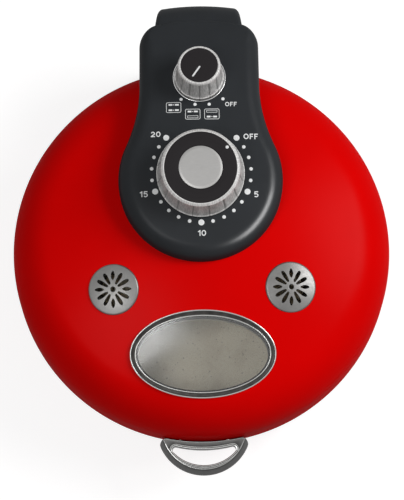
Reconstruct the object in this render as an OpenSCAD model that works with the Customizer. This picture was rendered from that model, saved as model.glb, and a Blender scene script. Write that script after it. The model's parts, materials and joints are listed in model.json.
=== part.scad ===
// Countertop pizza maker: a red pan with a turning stone, and a domed lid hinged at the rear.
// Millimetres, +Z up, front of the object towards -Y, standing on Z = 0.

/* [Lid] */
// Outer radius of the lid at its rim
lid_r = 180; // [176:1:184]
// Height of the lid's upright wall
lid_wall_h = 26; // [22:1:30]
// Inward lean of the upright wall
lid_draft = 1.2; // [0.8:0.1:2]
// Radius of the rounded shoulder
shoulder_r = 50; // [44:1:56]
// Slope of the crown where it meets the shoulder, in degrees
crown_slope = 16; // [14:0.5:18]
// Thickness of the lid's steel skin
skin_t = 0.8; // [0.6:0.1:1.2]
// Depth of the air gap between the skin and the inner reflector
air_gap = 12; // [9:1:14]

/* [Base] */
// Height of the rubber feet
foot_h = 8; // [6:1:12]
// Distance of the feet from the middle
foot_ring_r = 118; // [112:1:122]
// Height of the lid's rim above the table
rim_z = 65; // [64:0.5:68]
// Outer radius of the pan's rim
pan_r = 177.5; // [176:0.5:178]
// Radius of the pan's bottom corner
pan_corner_r = 38; // [30:1:42]

/* [Stone and heaters] */
// Radius of the ceramic stone
stone_r = 152.5; // [140:0.5:153]
// Thickness of the stone
stone_t = 12; // [10:0.5:12.5]
// Radius of the heating element's tube
tube_r = 3.25; // [3:0.25:4]
// Radius of the lower element's ring
low_ring_r = 105; // [90:1:112]
// Radius of the upper element's ring
top_ring_r = 76; // [70:1:78]

/* [Window] */
// Half of the oval window frame's width
win_a = 67; // [64:0.5:70]
// Half of the oval window frame's depth
win_b = 39.7; // [37:0.1:41]
// Distance of the window's centre in front of the middle
win_y = 106; // [104:0.5:108]

/* [Vents] */
// Sideways distance of each vent from the middle
vent_x = 81.3; // [78:0.1:84]
// Distance of each vent in front of the middle
vent_y = 45.6; // [42:0.5:48]
// Radius of the vent's metal disc
vent_r = 23.6; // [21:0.2:24]
// Number of petal-shaped slots
vent_slots = 12; // [9:3:15]

/* [Control panel] */
// Height of the panel's highest point
panel_z = 182; // [180:0.5:184]
// Distance of that point behind the middle
panel_y = 64; // [60:1:68]
// Radius of the panel's gentle crown
panel_r = 600; // [560:10:640]
// Radius of the round front of the panel
disc_r = 75.8; // [74:0.5:78]
// Distance of the round front's centre behind the middle
disc_y = 53.3; // [52:0.5:56]
// Half of the width across the panel's shoulders
neck_w = 55.8; // [54:0.2:57]
// Rounding along the panel's edge
panel_round = 14; // [10:1:16]
// Wall thickness of the housing
wall_t = 2.5; // [2:0.25:3]

/* [Knobs] */
// Distance of the timer behind the middle
timer_y = 54.9; // [52:0.5:57]
// Radius of the timer knob's skirt
timer_r = 40.3; // [38:0.1:41]
// Height of the timer knob
timer_h = 27.5; // [20:0.5:29]
// Distance of the heat selector behind the middle
selector_y = 147.2; // [146:0.2:149]
// Radius of the selector knob's skirt
selector_r = 22.6; // [21:0.2:23]
// Height of the selector knob
selector_h = 28.5; // [24:0.5:30]

/* [Hinge] */
// Distance of the hinge axis behind the middle
hinge_y = 200; // [199:0.5:201]
// Height of the hinge axis
hinge_z = 84; // [83:0.5:86]
// Outer radius of the hinge ears
ear_r = 13; // [12:0.5:13.5]
// Radius of the hinge pins
pin_r = 3; // [2.5:0.1:3.5]
// Half of the width between the ears
ear_gap = 43.5; // [43:0.25:45]
// Thickness of each ear
ear_t = 11.5; // [9:0.5:12]

/* [Handle] */
// Radius of the handle's bow
bow_r = 45.2; // [44:0.2:47]
// Distance from the middle to the front of the bow
bow_front = 211.4; // [210:0.2:214]
// Width of the bow's band at its middle
bow_band = 9.4; // [8:0.2:11]
// Height of the handle
bow_h = 12; // [10:0.5:14]

/* [Hidden] */
$fn = 48;

block_back = 229.5;                    // rearmost point of the panel's rear block
seat_y = (bow_front - block_back) / 2; // centres the whole object's box over the origin
fit_gap = 0.05;                        // radial clearance of a shaft in its bore
skin_gap = 0.2;                        // room between curved skins that lie on each other
screw_hole = 2.3;                      // radius of a hole that an M4 screw passes

// Crown and shoulder of the lid: the shoulder's arc leaves the wall level and meets the crown's arc
// where both have the slope crown_slope.
shoulder_x = lid_r - lid_draft - shoulder_r;
shoulder_z = rim_z + lid_wall_h;
crown_r = (shoulder_x + shoulder_r * sin(crown_slope)) / sin(crown_slope);
crown_cz = shoulder_z + shoulder_r * cos(crown_slope) - crown_r * cos(crown_slope);

// Base levels
cover_z = foot_h + 0.3;
cover_t = 0.8;
flange_z = cover_z + cover_t;
pan_skin = 0.8;
liner_floor_z = 34;
liner_t = 0.6;
pan_rim_z = rim_z - 1 - liner_t;
stone_z = 51;
carrier_z = 47;
low_ring_z = 40.5;
top_ring_z = 118;
top_ring_y = 30;
tail_x = 14;                           // half the distance between a heater's two ends
top_tail_y = top_ring_y + sqrt(top_ring_r * top_ring_r - tail_x * tail_x);
low_tail_y = sqrt(low_ring_r * low_ring_r - tail_x * tail_x);
motor_z = 12;
motor_h = 15;
motor_y = -12;                         // the gear motor's shaft is off its middle
motor_screw_x = 28.5;
shaft_r = 3.5;

// Rear housing with the hinge ears, and the arm and handle on the lid
rear_w = 57;                           // half of the rear housing's width
rear_y = 207;
rear_corner = 12;
rear_low_z = 13;
rear_high_z = 52;
rear_screw_x = 34;
rear_screw_z = 46;
gland_z = 27;
gland_r = 6.4;
arm_r = 11.5;                          // radius of the hinge barrel
arm_w = 38;                            // half of the width of the barrel's foot
arm_screw_x = 24;
arm_screw_z = 80;
handle_z = 72;
timer_face_r = 32.8;
timer_cap_r = 19.8;
selector_face_r = 16.8;
bow_corner = 6;
grip_r = 40;                           // front arc of the opening in the handle
grip_back = 187.6;                     // distance from the middle to the opening's rear edge
grip_back_r = 113;                     // arc of that edge
grip_corner = 3;
handle_screw_x = 22;
handle_screw_z = 78;
side_screw_back = skin_t + 0.9;        // depth of a screw's head behind the lid's wall

// Window and vents
stud_in = 2;                           // distance of the bezel's studs from its outer edge
stud_r = 1.25;
vent_neck = vent_r - 4.6;              // outer radius of a vent's neck

// Panel: web arcs blend the round front into the neck
web_r = 140;
web_x = neck_w + web_r;
web_y = disc_y + sqrt(pow(disc_r + web_r, 2) - pow(web_x, 2));
// the neck's rear edge runs round the lid's axis, and its corners are tangent to it
rear_edge_r = 206.5;
neck_corner_x = neck_w - panel_round;
neck_corner_y = sqrt(pow(rear_edge_r - panel_round, 2) - pow(neck_corner_x, 2));
// the rear block over the hinge
block_w = 41.5;
block_z = 99;
block_round = 32;
block_arc_z = 131.5;

function arc(cx, cy, r, a0, a1, n) =
    [for (i = [0:n]) [cx + r * cos(a0 + (a1 - a0) * i / n), cy + r * sin(a0 + (a1 - a0) * i / n)]];

function dome_points(t, low) = concat(
    [[0, low], [lid_r - t, low]],
    low < rim_z ? [[lid_r - t, rim_z]] : [],
    arc(shoulder_x, shoulder_z, shoulder_r - t, 0, 90 - crown_slope, 10),
    arc(0, crown_cz, crown_r - t, 90 - crown_slope, 90, 8));

function oval_points(t) =
    [for (i = [0:59]) [(win_a - t) * cos(6 * i), (win_b - t) * sin(6 * i)]];

// Half section of a body with the panel's crown on top, half width w, inset by t.
// It is drawn with its origin on the crown and reaches down to -deep.
function crown_section(w, t, deep) =
    let (reach = w - panel_round,
         lean = asin(reach / (panel_r - panel_round)),
         centre = -panel_r + (panel_r - panel_round) * cos(lean))
    concat([[0, -deep], [w - t, -deep]],
           arc(reach, centre, panel_round - t, 0, 90 - lean, 6),
           arc(0, -panel_r, panel_r - t, 90 - lean, 90, 3));

// Height of the lid's crown or shoulder over the plan point p, distance of its wall from the middle at x,
// and height of the panel over p
function lid_height(p) = norm(p) < crown_r * sin(crown_slope)
    ? crown_cz + sqrt(crown_r * crown_r - p * p)
    : shoulder_z + sqrt(shoulder_r * shoulder_r - pow(norm(p) - shoulder_x, 2));
function lid_wall_y(x) = sqrt(pow(lid_r - lid_draft / 2, 2) - x * x);
function panel_height(p) =
    panel_z - panel_r + sqrt(panel_r * panel_r - p[0] * p[0] - pow(p[1] - panel_y, 2));

module seat() { translate([0, seat_y, 0]) children(); }

// Places children on the lid's crown at plan position x, y, upright on the surface and not turned.
module on_crown(x, y) {
    translate([0, 0, crown_cz])
        rotate([0, 0, atan2(y, x)])
            rotate([0, asin(norm([x, y]) / crown_r), 0])
                rotate([0, 0, -atan2(y, x)])
                    translate([0, 0, crown_r]) children();
}

// Places children on the panel's crown at distance y behind the middle.
module on_panel(y) {
    translate([0, panel_y, panel_z - panel_r])
        rotate([-asin((y - panel_y) / panel_r), 0, 0])
            translate([0, 0, panel_r]) children();
}

// The point beside the Y axis at distance d1 from [0, y1] and d2 from [0, y2]
function between(y1, d1, y2, d2) =
    let (y = (d1 * d1 - d2 * d2 - y1 * y1 + y2 * y2) / (2 * (y2 - y1)))
    [sqrt(d1 * d1 - pow(y - y1, 2)), y];

// A crescent between an arc of radius r1 about [0, y1], in front, and one of radius r2 about [0, y2],
// with corners of radius c that are tangent to both
module crescent(y1, r1, y2, r2, c) {
    p = between(y1, r1 - c, y2, r2 + c);
    a = atan2(p[1] - y1, p[0]);
    b = atan2(p[1] - y2, p[0]);
    polygon(concat(
        arc(0, y1, r1, -180 - a, a, 20), arc(p[0], p[1], c, a, b + 180, 6),
        arc(0, y2, r2, b, -180 - b, 10), arc(-p[0], p[1], c, -b, 180 - a, 6)));
}

module dome_solid(t, low = rim_z) {
    rotate_extrude() polygon(dome_points(t, low));
}

// A layer of the dome between the depths t1 and t2 below the lid's outer face.
module dome_layer(t1, t2) {
    rotate_extrude() difference() {
        polygon(dome_points(t1, rim_z));
        polygon(dome_points(t2, rim_z - 1));
    }
}

module oval_block(t, z1, z2) {
    translate([0, -win_y, z1]) linear_extrude(z2 - z1) polygon(oval_points(t));
}

// A tube ring with a gap of half-angle gap towards +Y.
module tube_ring(r, gap, bore = 0) {
    rotate([0, 0, 90 + gap]) rotate_extrude(angle = 360 - 2 * gap)
        translate([r, 0]) circle(r = tube_r + bore);
}

module pan_half(t, low) {
    polygon(concat(
        [[0, low], [pan_r - 1.5 - pan_corner_r, low]],
        arc(pan_r - 1.5 - pan_corner_r, flange_z + pan_corner_r, pan_corner_r - t, -90, 0, 12),
        [[pan_r - 1 - t, pan_rim_z + 1], [0, pan_rim_z + 1]]));
}

module screw(head_r, head_h, shank_r, length) {
    cylinder(r = head_r, h = head_h);
    translate([0, 0, -length]) cylinder(r = shank_r, h = length + 0.1);
}

module at_feet() {
    for (i = [0:3]) rotate([0, 0, 45 + 90 * i]) translate([foot_ring_r, 0, 0]) children();
}

// ---------------------------------------------------------------- base

// Pressed steel pan with a rolled rim and an inner flange under it
module base_shell() color("firebrick") seat() difference() {
    union() {
        rotate_extrude() difference() {
            intersection() {
                pan_half(0, flange_z);
                translate([0, flange_z]) square([200, pan_rim_z - flange_z]);
            }
            pan_half(pan_skin, flange_z + pan_skin);
            translate([0, flange_z - 1]) square([foot_ring_r - 14, 10]);
        }
        rotate_extrude() translate([pan_r - 2, pan_rim_z - 2]) circle(r = 2);
    }
    at_feet() translate([0, 0, flange_z - 1]) cylinder(r = screw_hole, h = 5);
    translate([0, pan_r - 20, 32]) rotate([-90, 0, 0]) cylinder(r = 9, h = 30);
    for (s = [-1, 1]) translate([s * rear_screw_x, pan_r - 30, rear_screw_z])
        rotate([-90, 0, 0]) cylinder(r = screw_hole, h = 40);
}

// Flat steel cover under the pan, with rows of cooling slots
module bottom_cover() color("dimgray") seat() difference() {
    translate([0, 0, cover_z]) cylinder(r = foot_ring_r + 14, h = cover_t);
    at_feet() translate([0, 0, cover_z - 1]) cylinder(r = screw_hole, h = 5);
    for (side = [-1, 1], i = [-3:3])
        translate([side * 62 - 18, i * 12 - 2, cover_z - 1]) cube([36, 4, 4]);
}

module rubber_feet() color([0.08, 0.08, 0.08]) seat() at_feet() difference() {
    cylinder(r1 = 11, r2 = 13, h = cover_z);
    translate([0, 0, -1]) cylinder(r = 5.2, h = 4.8);
    cylinder(r = screw_hole, h = 20);
}

module foot_screws() color("silver") seat() at_feet() {
    translate([0, 0, 1.8]) cylinder(r = 4.2, h = 2);
    cylinder_between(3.7, flange_z + pan_skin + 4, 2);
    difference() {
        translate([0, 0, flange_z + pan_skin]) cylinder(r = 4, h = 3, $fn = 6);
        translate([0, 0, flange_z]) cylinder(r = 1.9, h = 8);
    }
}

module cylinder_between(z1, z2, r) {
    translate([0, 0, z1]) cylinder(r = r, h = z2 - z1);
}

// Bright dish that carries the lower element and closes the pan's rim
module base_liner() color("gainsboro") seat() difference() {
    rotate_extrude() {
        difference() {
            liner_half(0);
            liner_half(liner_t);
        }
        translate([pan_r - 10, pan_rim_z]) square([9.5, liner_t]);
    }
    translate([0, 0, liner_floor_z - 5]) cylinder(r = 8.05, h = 20);
    for (s = [-1, 1])
        translate([s * tail_x, 120, low_ring_z]) rotate([-90, 0, 0]) cylinder(r = tube_r + 0.4, h = 60);
}

module liner_half(t) {
    polygon(concat(
        [[0, liner_floor_z + t]],
        [[pan_r - 31, liner_floor_z + t]],
        arc(pan_r - 31, liner_floor_z + 18, 18 - t, -90, -20, 6),
        [for (x = [pan_r - 9 - t, 0]) [x, pan_rim_z + liner_t + (t > 0 ? 1 : 0)]]));
}

// Tubular heater: an open ring whose ends run out through the dish at the rear
module lower_element() color("darkslategray") seat() translate([0, 0, low_ring_z]) {
    tube_ring(low_ring_r, asin(tail_x / low_ring_r));
    for (s = [-1, 1]) translate([s * tail_x, low_tail_y, 0]) {
        sphere(r = tube_r + 0.2);
        rotate([-90, 0, 0]) cylinder(r = tube_r, h = 64);
    }
}

// Folded clips that hold the ring above the dish
module lower_element_clips() color("silver") seat()
    for (a = [200, 270, 340]) rotate([0, 0, a]) translate([low_ring_r, 0, 0]) difference() {
        translate([-7, -4, liner_floor_z + liner_t]) cube([14, 8, low_ring_z - liner_floor_z + tube_r]);
        translate([0, 10, low_ring_z]) rotate([90, 0, 0]) cylinder(r = tube_r + 0.3, h = 20);
        translate([-tube_r - 0.3, -5, low_ring_z]) cube([2 * tube_r + 0.6, 10, 20]);
    }

// Flat synchronous gear motor
module drive_motor() color("silver") seat() difference() {
    union() {
        translate([0, motor_y, motor_z]) cylinder(r = 25, h = motor_h);
        translate([-32, motor_y - 5, motor_z + motor_h - 1.5]) cube([64, 10, 1.5]);
        translate([0, 0, motor_z + motor_h]) cylinder(r = 6, h = 3);
    }
    translate([0, 0, motor_z + 3]) cylinder(r = shaft_r + fit_gap, h = motor_h + 3);
    for (s = [-1, 1]) translate([s * motor_screw_x, motor_y, motor_z])
        cylinder(r = 1.7, h = motor_h + 3);
}

// Bridge that hangs the motor under the dish
module motor_bracket() color("lightgray") seat() difference() {
    translate([-48, motor_y - 8, motor_z + motor_h]) union() {
        cube([96, 16, 1.2]);
        for (x = [0, 94.8]) translate([x, 0, 0]) cube([1.2, 16, liner_floor_z - motor_z - motor_h]);
    }
    translate([0, 0, motor_z]) cylinder(r = 6.5, h = 30);
    for (s = [-1, 1]) translate([s * motor_screw_x, motor_y, motor_z]) cylinder(r = 1.7, h = 30);
}

module motor_screws() color("silver") seat()
    for (s = [-1, 1]) translate([s * motor_screw_x, motor_y, motor_z + motor_h + 1.2])
        screw(3, 1.8, 1.5, 6);

// Ceramic-filled bush where the shaft passes through the dish
module shaft_bush() color("peru") seat() difference() {
    union() {
        cylinder_between(liner_floor_z - 3.5, liner_floor_z + 3, 8);
        cylinder_between(liner_floor_z + liner_t, liner_floor_z + 3, 11);
    }
    cylinder_between(liner_floor_z - 6, liner_floor_z + 8, shaft_r + fit_gap);
}

// Disc thermostat pressed against the dish from below
module base_thermostat() color("saddlebrown") seat() translate([62, 48, 0]) {
    cylinder_between(liner_floor_z - 9, liner_floor_z - 1, 8);
    cylinder_between(liner_floor_z - 1, liner_floor_z, 9.5);
    for (s = [-1, 1]) translate([s * 4 - 3.2, -0.4, liner_floor_z - 16]) cube([6.3, 0.8, 7.2]);
}

module thermal_fuse() color("white") seat() translate([62, -48, liner_floor_z - 2.6]) rotate([0, 90, 0]) {
    cylinder(r = 2.4, h = 22, center = true);
    cylinder(r = 0.7, h = 44, center = true);
}

// Ceramic block where the mains lead meets the inner wiring
module terminal_block() color("ivory") seat() translate([-24, 115, flange_z + pan_skin]) difference() {
    cube([48, 20, 15]);
    for (i = [0:2]) translate([9 + 15 * i, -1, 9]) rotate([-90, 0, 0]) cylinder(r = 2.6, h = 22);
    for (i = [0:2], y = [5, 15]) translate([9 + 15 * i, y, 9]) cylinder(r = 1.8, h = 8);
}

// Moulded housing behind the pan that carries the two hinge ears
module rear_housing() color([0.1, 0.1, 0.11]) seat() difference() {
    union() {
        difference() {
            translate([0, 0, rear_low_z]) linear_extrude(rear_high_z - rear_low_z) rear_plan(0);
            translate([0, 0, rear_low_z + wall_t])
                linear_extrude(rear_high_z - rear_low_z - 2 * wall_t) rear_plan(wall_t);
        }
        for (s = [-1, 1]) translate([s * (ear_gap + ear_t / 2), 0, 0]) ear();
        for (s = [-1, 1]) translate([s * rear_screw_x, 168, rear_screw_z])
            rotate([-90, 0, 0]) cylinder(r = 5, h = 30);
    }
    rotate_extrude() pan_half(-skin_gap, 0);
    translate([0, 0, pan_rim_z - 4]) cylinder(r = pan_r + 0.4, h = 40);
    translate([-80, hinge_y, hinge_z]) rotate([0, 90, 0]) cylinder(r = pin_r, h = 160);
    translate([0, rear_y - rear_corner, gland_z])
        rotate([-90, 0, 0]) cylinder(r = gland_r + skin_gap, h = 20);
    for (s = [-1, 1]) translate([s * rear_screw_x, 160, rear_screw_z])
        rotate([-90, 0, 0]) cylinder(r = 1.7, h = 34);
}

// Plan of the rear housing, inset by t
module rear_plan(t) {
    x = rear_w - rear_corner;
    y = rear_y - rear_corner;
    polygon(concat(
        [[rear_w - t, 130]], arc(x, y, rear_corner - t, 0, 90, 6), arc(-x, y, rear_corner - t, 90, 180, 6),
        [[t - rear_w, 130]]));
}

// An upright plate round a hinge pin, whose rear edge leans out from the housing's rear face
module ear() {
    foot_z = rear_high_z - 7;
    behind = rear_y - hinge_y;
    translate([-ear_t / 2, hinge_y, hinge_z]) rotate([0, 90, 0]) cylinder(r = ear_r, h = ear_t);
    translate([-ear_t / 2, hinge_y - ear_r, foot_z]) cube([ear_t, ear_r + behind, hinge_z - foot_z]);
    translate([-ear_t / 2, rear_y, 0]) rotate([90, 0, 90]) linear_extrude(ear_t)
        polygon([[-1, foot_z], [0, foot_z], [ear_r - behind, hinge_z], [-1, hinge_z]]);
}

module rear_housing_screws() color("silver") seat()
    for (s = [-1, 1])
        translate([s * rear_screw_x, sqrt(pow(pan_r - 2.7, 2) - pow(rear_screw_x, 2)) - 1, rear_screw_z])
            rotate([90, 0, 0]) screw(3.6, 2, 1.5, 16);

// Clamping gland in the rear wall for the mains lead
module cord_gland() color([0.06, 0.06, 0.06]) seat()
translate([0, rear_y - wall_t, gland_z]) rotate([-90, 0, 0]) difference() {
    union() {
        translate([0, 0, -5]) cylinder(r = gland_r, h = 8);
        translate([0, 0, 2.6]) cylinder(r = 9, h = 4);
        translate([0, 0, 6.6]) cylinder(r1 = 8, r2 = 6, h = 9);
        translate([0, 0, -6]) cylinder(r = 8.6, h = 3.4);
    }
    translate([0, 0, -10]) cylinder(r = 3.5, h = 40);
}

module hinge_pins() color("silver") seat()
    for (s = [-1, 1]) translate([s * (ear_gap - 9), hinge_y, hinge_z]) rotate([0, s * 90, 0]) {
        cylinder(r = pin_r, h = 9 + ear_t + 0.8);
        translate([0, 0, 9 + ear_t + 0.8]) cylinder(r1 = 4.8, r2 = 3.4, h = 1.6);
    }

// ---------------------------------------------------------------- turning stone

module drive_shaft() color("silver") seat() {
    cylinder_between(motor_z + 4, carrier_z + 0.6, shaft_r);
    translate([-4, -4, carrier_z + 0.6]) cube([8, 8, 6]);
}

// Three-armed steel carrier under the stone
module turntable() color("gray") seat() difference() {
    union() {
        cylinder_between(carrier_z - 2.5, stone_z, 15);
        for (i = [0:2]) rotate([0, 0, 90 + 120 * i]) translate([0, -7, carrier_z]) {
            cube([120, 14, stone_z - carrier_z]);
            translate([120, 7, 0]) cylinder(r = 9, h = stone_z - carrier_z);
        }
        cylinder_between(stone_z - 0.5, stone_z + 3.5, 9);
    }
    translate([-4.1, -4.1, carrier_z + 0.5]) cube([8.2, 8.2, 20]);
    cylinder_between(carrier_z - 4, carrier_z + 0.5, shaft_r + 0.15);
}

// Round ceramic stone with a locating recess below
module stone_plate() color("tan") seat() difference() {
    union() {
        cylinder_between(stone_z + 1.2, stone_z + stone_t - 1.2, stone_r);
        translate([0, 0, stone_z]) cylinder(r1 = stone_r - 1.2, r2 = stone_r, h = 1.2);
        translate([0, 0, stone_z + stone_t - 1.2]) cylinder(r1 = stone_r, r2 = stone_r - 1.2, h = 1.2);
    }
    cylinder_between(stone_z - 1, stone_z + 4.5, 9.6);
}

// ---------------------------------------------------------------- lid

module lid_shell() color("red") seat() difference() {
    dome_layer(0, skin_t);
    oval_block(4.4, rim_z, 200);
    for (s = [-1, 1]) on_crown(s * vent_x, -vent_y) cylinder(r = vent_r - 4, h = 20, center = true);
    for (p = bezel_stud_places()) translate([p[0], p[1], rim_z]) cylinder(r = stud_r + 0.25, h = 120);
    for (p = housing_screw_places()) translate([p[0], p[1], rim_z]) cylinder(r = 2.1, h = 120);
    for (s = [-1, 1]) translate([s * tail_x, top_tail_y, rim_z]) cylinder(r = 6, h = 120);
    translate([0, 140, rim_z]) cylinder(r = 8, h = 120);
    for (s = [-1, 1]) translate([s * arm_screw_x, 150, arm_screw_z])
        rotate([-90, 0, 0]) cylinder(r = screw_hole, h = 60);
    for (s = [-1, 1]) translate([s * handle_screw_x, -150, handle_screw_z])
        rotate([90, 0, 0]) cylinder(r = screw_hole, h = 60);
}

function bezel_stud_places() = [for (x = [-50, 50], side = [-1, 1])
    [x, -win_y + side * (win_b - stud_in) * sqrt(1 - pow(x / (win_a - stud_in), 2))]];
function housing_screw_places() = [[-42, 92], [42, 92], [-34, 8], [34, 8], [-42, 132], [42, 132]];

// Bright inner dish of the lid, joined to the rim by a flat lip
module lid_liner() color("gainsboro") seat() difference() {
    union() {
        dome_layer(air_gap, air_gap + liner_t);
        rotate_extrude() translate([lid_r - air_gap - liner_t, rim_z + 0.4]) square([air_gap - 1, liner_t]);
    }
    oval_block(6.2, rim_z - 5, 200);
    for (s = [-1, 1]) on_crown(s * vent_x, -vent_y)
        translate([0, 0, -30]) cylinder(r = vent_r - 7.4, h = 40);
    for (s = [-1, 1]) translate([s * tail_x, top_tail_y, rim_z]) cylinder(r = tube_r + 0.4, h = 120);
}

// Tubular heater of the lid, behind the window, its ends rising into the panel
module upper_element() color("darkslategray") seat() translate([0, top_ring_y, top_ring_z]) {
    tube_ring(top_ring_r, asin(tail_x / top_ring_r));
    for (s = [-1, 1]) translate([s * tail_x, top_tail_y - top_ring_y, 0]) {
        sphere(r = tube_r + 0.2);
        cylinder(r = tube_r, h = 38);
    }
}

module upper_element_clips() color("silver") seat() difference() {
    for (a = [180, 240, 300, 0]) translate([0, top_ring_y, top_ring_z]) rotate([0, 0, a])
        translate([top_ring_r, 0, 0]) difference() {
            translate([-5, -1, -5.5]) cube([10, 2, 44]);
            rotate([90, 0, 0]) cylinder(r = tube_r + 0.3, h = 20, center = true);
        }
    rotate_extrude() difference() {
        translate([0, rim_z]) square([160, 140]);
        polygon(dome_points(air_gap + liner_t + skin_gap, rim_z - 1));
    }
}

module lid_thermostat() color("saddlebrown") seat() on_crown(0, 40) {
    cylinder_between(0.2 - air_gap, 1 - air_gap, 9);
    cylinder_between(1 - air_gap, 8 - air_gap, 8);
}

// Silver frame that lies on the lid around the window
module window_bezel() color("silver") seat() {
    difference() {
        intersection() {
            oval_block(0, rim_z, 200);
            dome_layer(-3, -skin_gap);
        }
        oval_block(5.6, rim_z - 1, 201);
    }
    for (p = bezel_stud_places()) intersection() {
        translate([p[0], p[1], 120]) cylinder(r = stud_r, h = 60);
        dome_layer(-1, 5);
    }
}

module bezel_nuts() color("silver") seat()
    for (p = bezel_stud_places()) difference() {
        intersection() {
            translate([p[0], p[1], 110]) cylinder(r = 2.4, h = 60, $fn = 6);
            dome_layer(skin_t + 0.05, 3.4);
        }
        translate([p[0], p[1], 100]) cylinder(r = stud_r, h = 80);
    }

// Curved glass pane, held under the frame's lip
module window_glass() color([0.8, 0.9, 0.9, 0.35]) seat() intersection() {
    oval_block(4.8, rim_z, 200);
    dome_layer(0.1, 4);
}

module window_gasket() color([0.06, 0.06, 0.06]) seat() difference() {
    intersection() {
        oval_block(4.8, rim_z, 200);
        dome_layer(4.05, 5.5);
    }
    oval_block(7.6, rim_z - 1, 201);
}

// Sheet tunnel that ties the window to the inner dish
module window_tunnel() color("gainsboro") seat() difference() {
    intersection() {
        oval_block(6.4, rim_z, 200);
        dome_layer(5.55, air_gap + 2);
    }
    oval_block(7.4, rim_z - 1, 201);
}

// Domed disc with a centre hole and a ring of petal slots, every third of them short
module vent_grille() difference() {
    rotate_extrude() polygon(concat(
        vent_curve(0, vent_r, 3, 6),
        [[vent_r, 0.25], [vent_neck, 0.25], [vent_neck, -7], [vent_neck - 1.2, -7]],
        vent_curve(vent_neck - 1.2, 0, 1.6, 6)));
    translate([0, 0, -8]) cylinder(r = 1.9, h = 20);
    for (i = [0:vent_slots - 1]) rotate([0, 0, 360 / vent_slots * i])
        translate([0, 0, -4]) linear_extrude(12) if (i % 3 == 0) short_slot(); else long_slot();
}

// Points along the disc's crown from radius r1 to r2, where its middle is at height top
function vent_curve(r1, r2, top, n) =
    [for (i = [0:n]) let (r = r1 + (r2 - r1) * i / n) [r, top - r * r / 240]];

// Lens of two arcs round the radius 12.75
module short_slot() {
    half = 4.3;
    width = 1.5;
    r = (half * half + width * width) / (2 * width);
    a = asin(half / r);
    polygon(concat(arc(12.75, width - r, r, 90 - a, 90 + a, 6),
                   [for (p = arc(12.75, r - width, r, 270 - a, 270 + a, 6)) if (abs(p[1]) > 0.01) p]));
}

// Blunt slot that widens outwards
module long_slot() {
    side = [[5.2, 0.8], [7.2, 0.9], [9.5, 1.25], [13, 1.5], [15.6, 1.4], [16.8, 0.8]];
    polygon(concat(side, [for (i = [len(side) - 1:-1:0]) [side[i][0], -side[i][1]]]));
}

module vent_grille_left() color("silver") seat() on_crown(-vent_x, -vent_y) vent_grille();

module vent_grille_right() color("silver") seat() on_crown(vent_x, -vent_y) vent_grille();

// Short tubes that lead steam from the inner dish to the vents
module vent_ducts() color("lightgray") seat()
    for (s = [-1, 1]) on_crown(s * vent_x, -vent_y) translate([0, 0, -16]) difference() {
        cylinder(r = vent_r - 7.6, h = 15.5);
        translate([0, 0, -1]) cylinder(r = vent_r - 8.4, h = 18);
    }

// Outer form of the control housing, inset by t; the rear block follows the lid's round rim.
module housing_form(t) {
    on_panel(disc_y) rotate_extrude() polygon(crown_section(disc_r, t, 60));
    intersection() {
        neck_form(t);
        linear_extrude(200) neck_plan(t);
    }
    for (s = [0, 1]) mirror([s, 0, 0]) web_form(t);
    block_form(t);
}

// The neck: the crown's section carried round the crown's centre
module neck_form(t) {
    tail = acos((208 - panel_y) / panel_r);
    section = crown_section(neck_w, t, 88);
    translate([0, panel_y, panel_z - panel_r]) rotate([90, 0, 90]) rotate([0, 0, tail - 2])
        rotate_extrude(angle = 91.5 - tail + 2) translate([panel_r, 0]) {
            polygon([for (p = section) [p[1], p[0]]]);
            polygon([for (p = section) [p[1], -p[0]]]);
        }
}

// Plan of the neck, with rounded rear corners and a rear edge concentric with the lid
module neck_plan(t) {
    turn = atan2(neck_corner_y, neck_corner_x);
    side = concat([[neck_w - t, 40]], arc(neck_corner_x, neck_corner_y, panel_round - t, 0, turn, 8),
                  arc(0, 0, rear_edge_r - t, turn + 1.5, 90, 6));
    polygon(concat(side, [for (i = [len(side) - 2:-1:0]) [-side[i][0], side[i][1]]]));
}

// Fills the hollow between the round front and the neck with a concave sweep
module web_form(t) intersection() {
    translate([web_x + 0.6, web_y, 0]) rotate_extrude() polygon(concat(
        arc(web_r + panel_round, 176.4 - panel_round, panel_round - t, 180, 90, 6),
        [[web_r + 60, 176.4 - t], [web_r + 60, 100], [web_r + t, 100]]));
    translate([38, disc_y + 32, 100]) cube([40, web_y - disc_y - 32, 100]);
}

// The rear block that comes down over the hinge
module block_form(t) intersection() {
    rotate_extrude() polygon(concat(
        [[186, block_z], [223 - t, block_z]],
        arc(block_back - block_round, block_arc_z, block_round - t, -6, 74, 8),
        [[186, 165 - t]]));
    linear_extrude(200) polygon([
        [t - block_w, 150], [block_w - t, 150], [block_w - t, 205], [block_w - 3 - t, 226 - t],
        [35 - t, 240], [t - 35, 240], [3 + t - block_w, 226 - t], [t - block_w, 205]]);
}

module control_housing() color([0.13, 0.14, 0.15]) seat() difference() {
    union() {
        difference() {
            housing_form(0);
            housing_form(wall_t);
        }
        for (p = housing_screw_places())
            translate([p[0], p[1], 100]) cylinder(r = 4.5, h = panel_height(p) - 101.4);
    }
    for (p = housing_screw_places()) translate([p[0], p[1], 90]) cylinder(r = 1.85, h = lid_height(p) - 76);
    dome_solid(-skin_gap, 0);
    // flat underside behind the lid, clear of the hinge
    translate([-80, 168, 50]) cube([160, 80, block_z - 50]);
    on_panel(timer_y) cylinder(r = 5.6, h = 30, center = true);
    on_panel(selector_y) cylinder(r = 5.6, h = 30, center = true);
}

module housing_screws() color("silver") seat() for (p = housing_screw_places()) {
    translate([p[0], p[1], lid_height(p) - skin_t - 4]) cylinder(r = 3.6, h = 2);
    translate([p[0], p[1], lid_height(p) - skin_t - 2.5]) cylinder(r = 1.8, h = 14);
}

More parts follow.
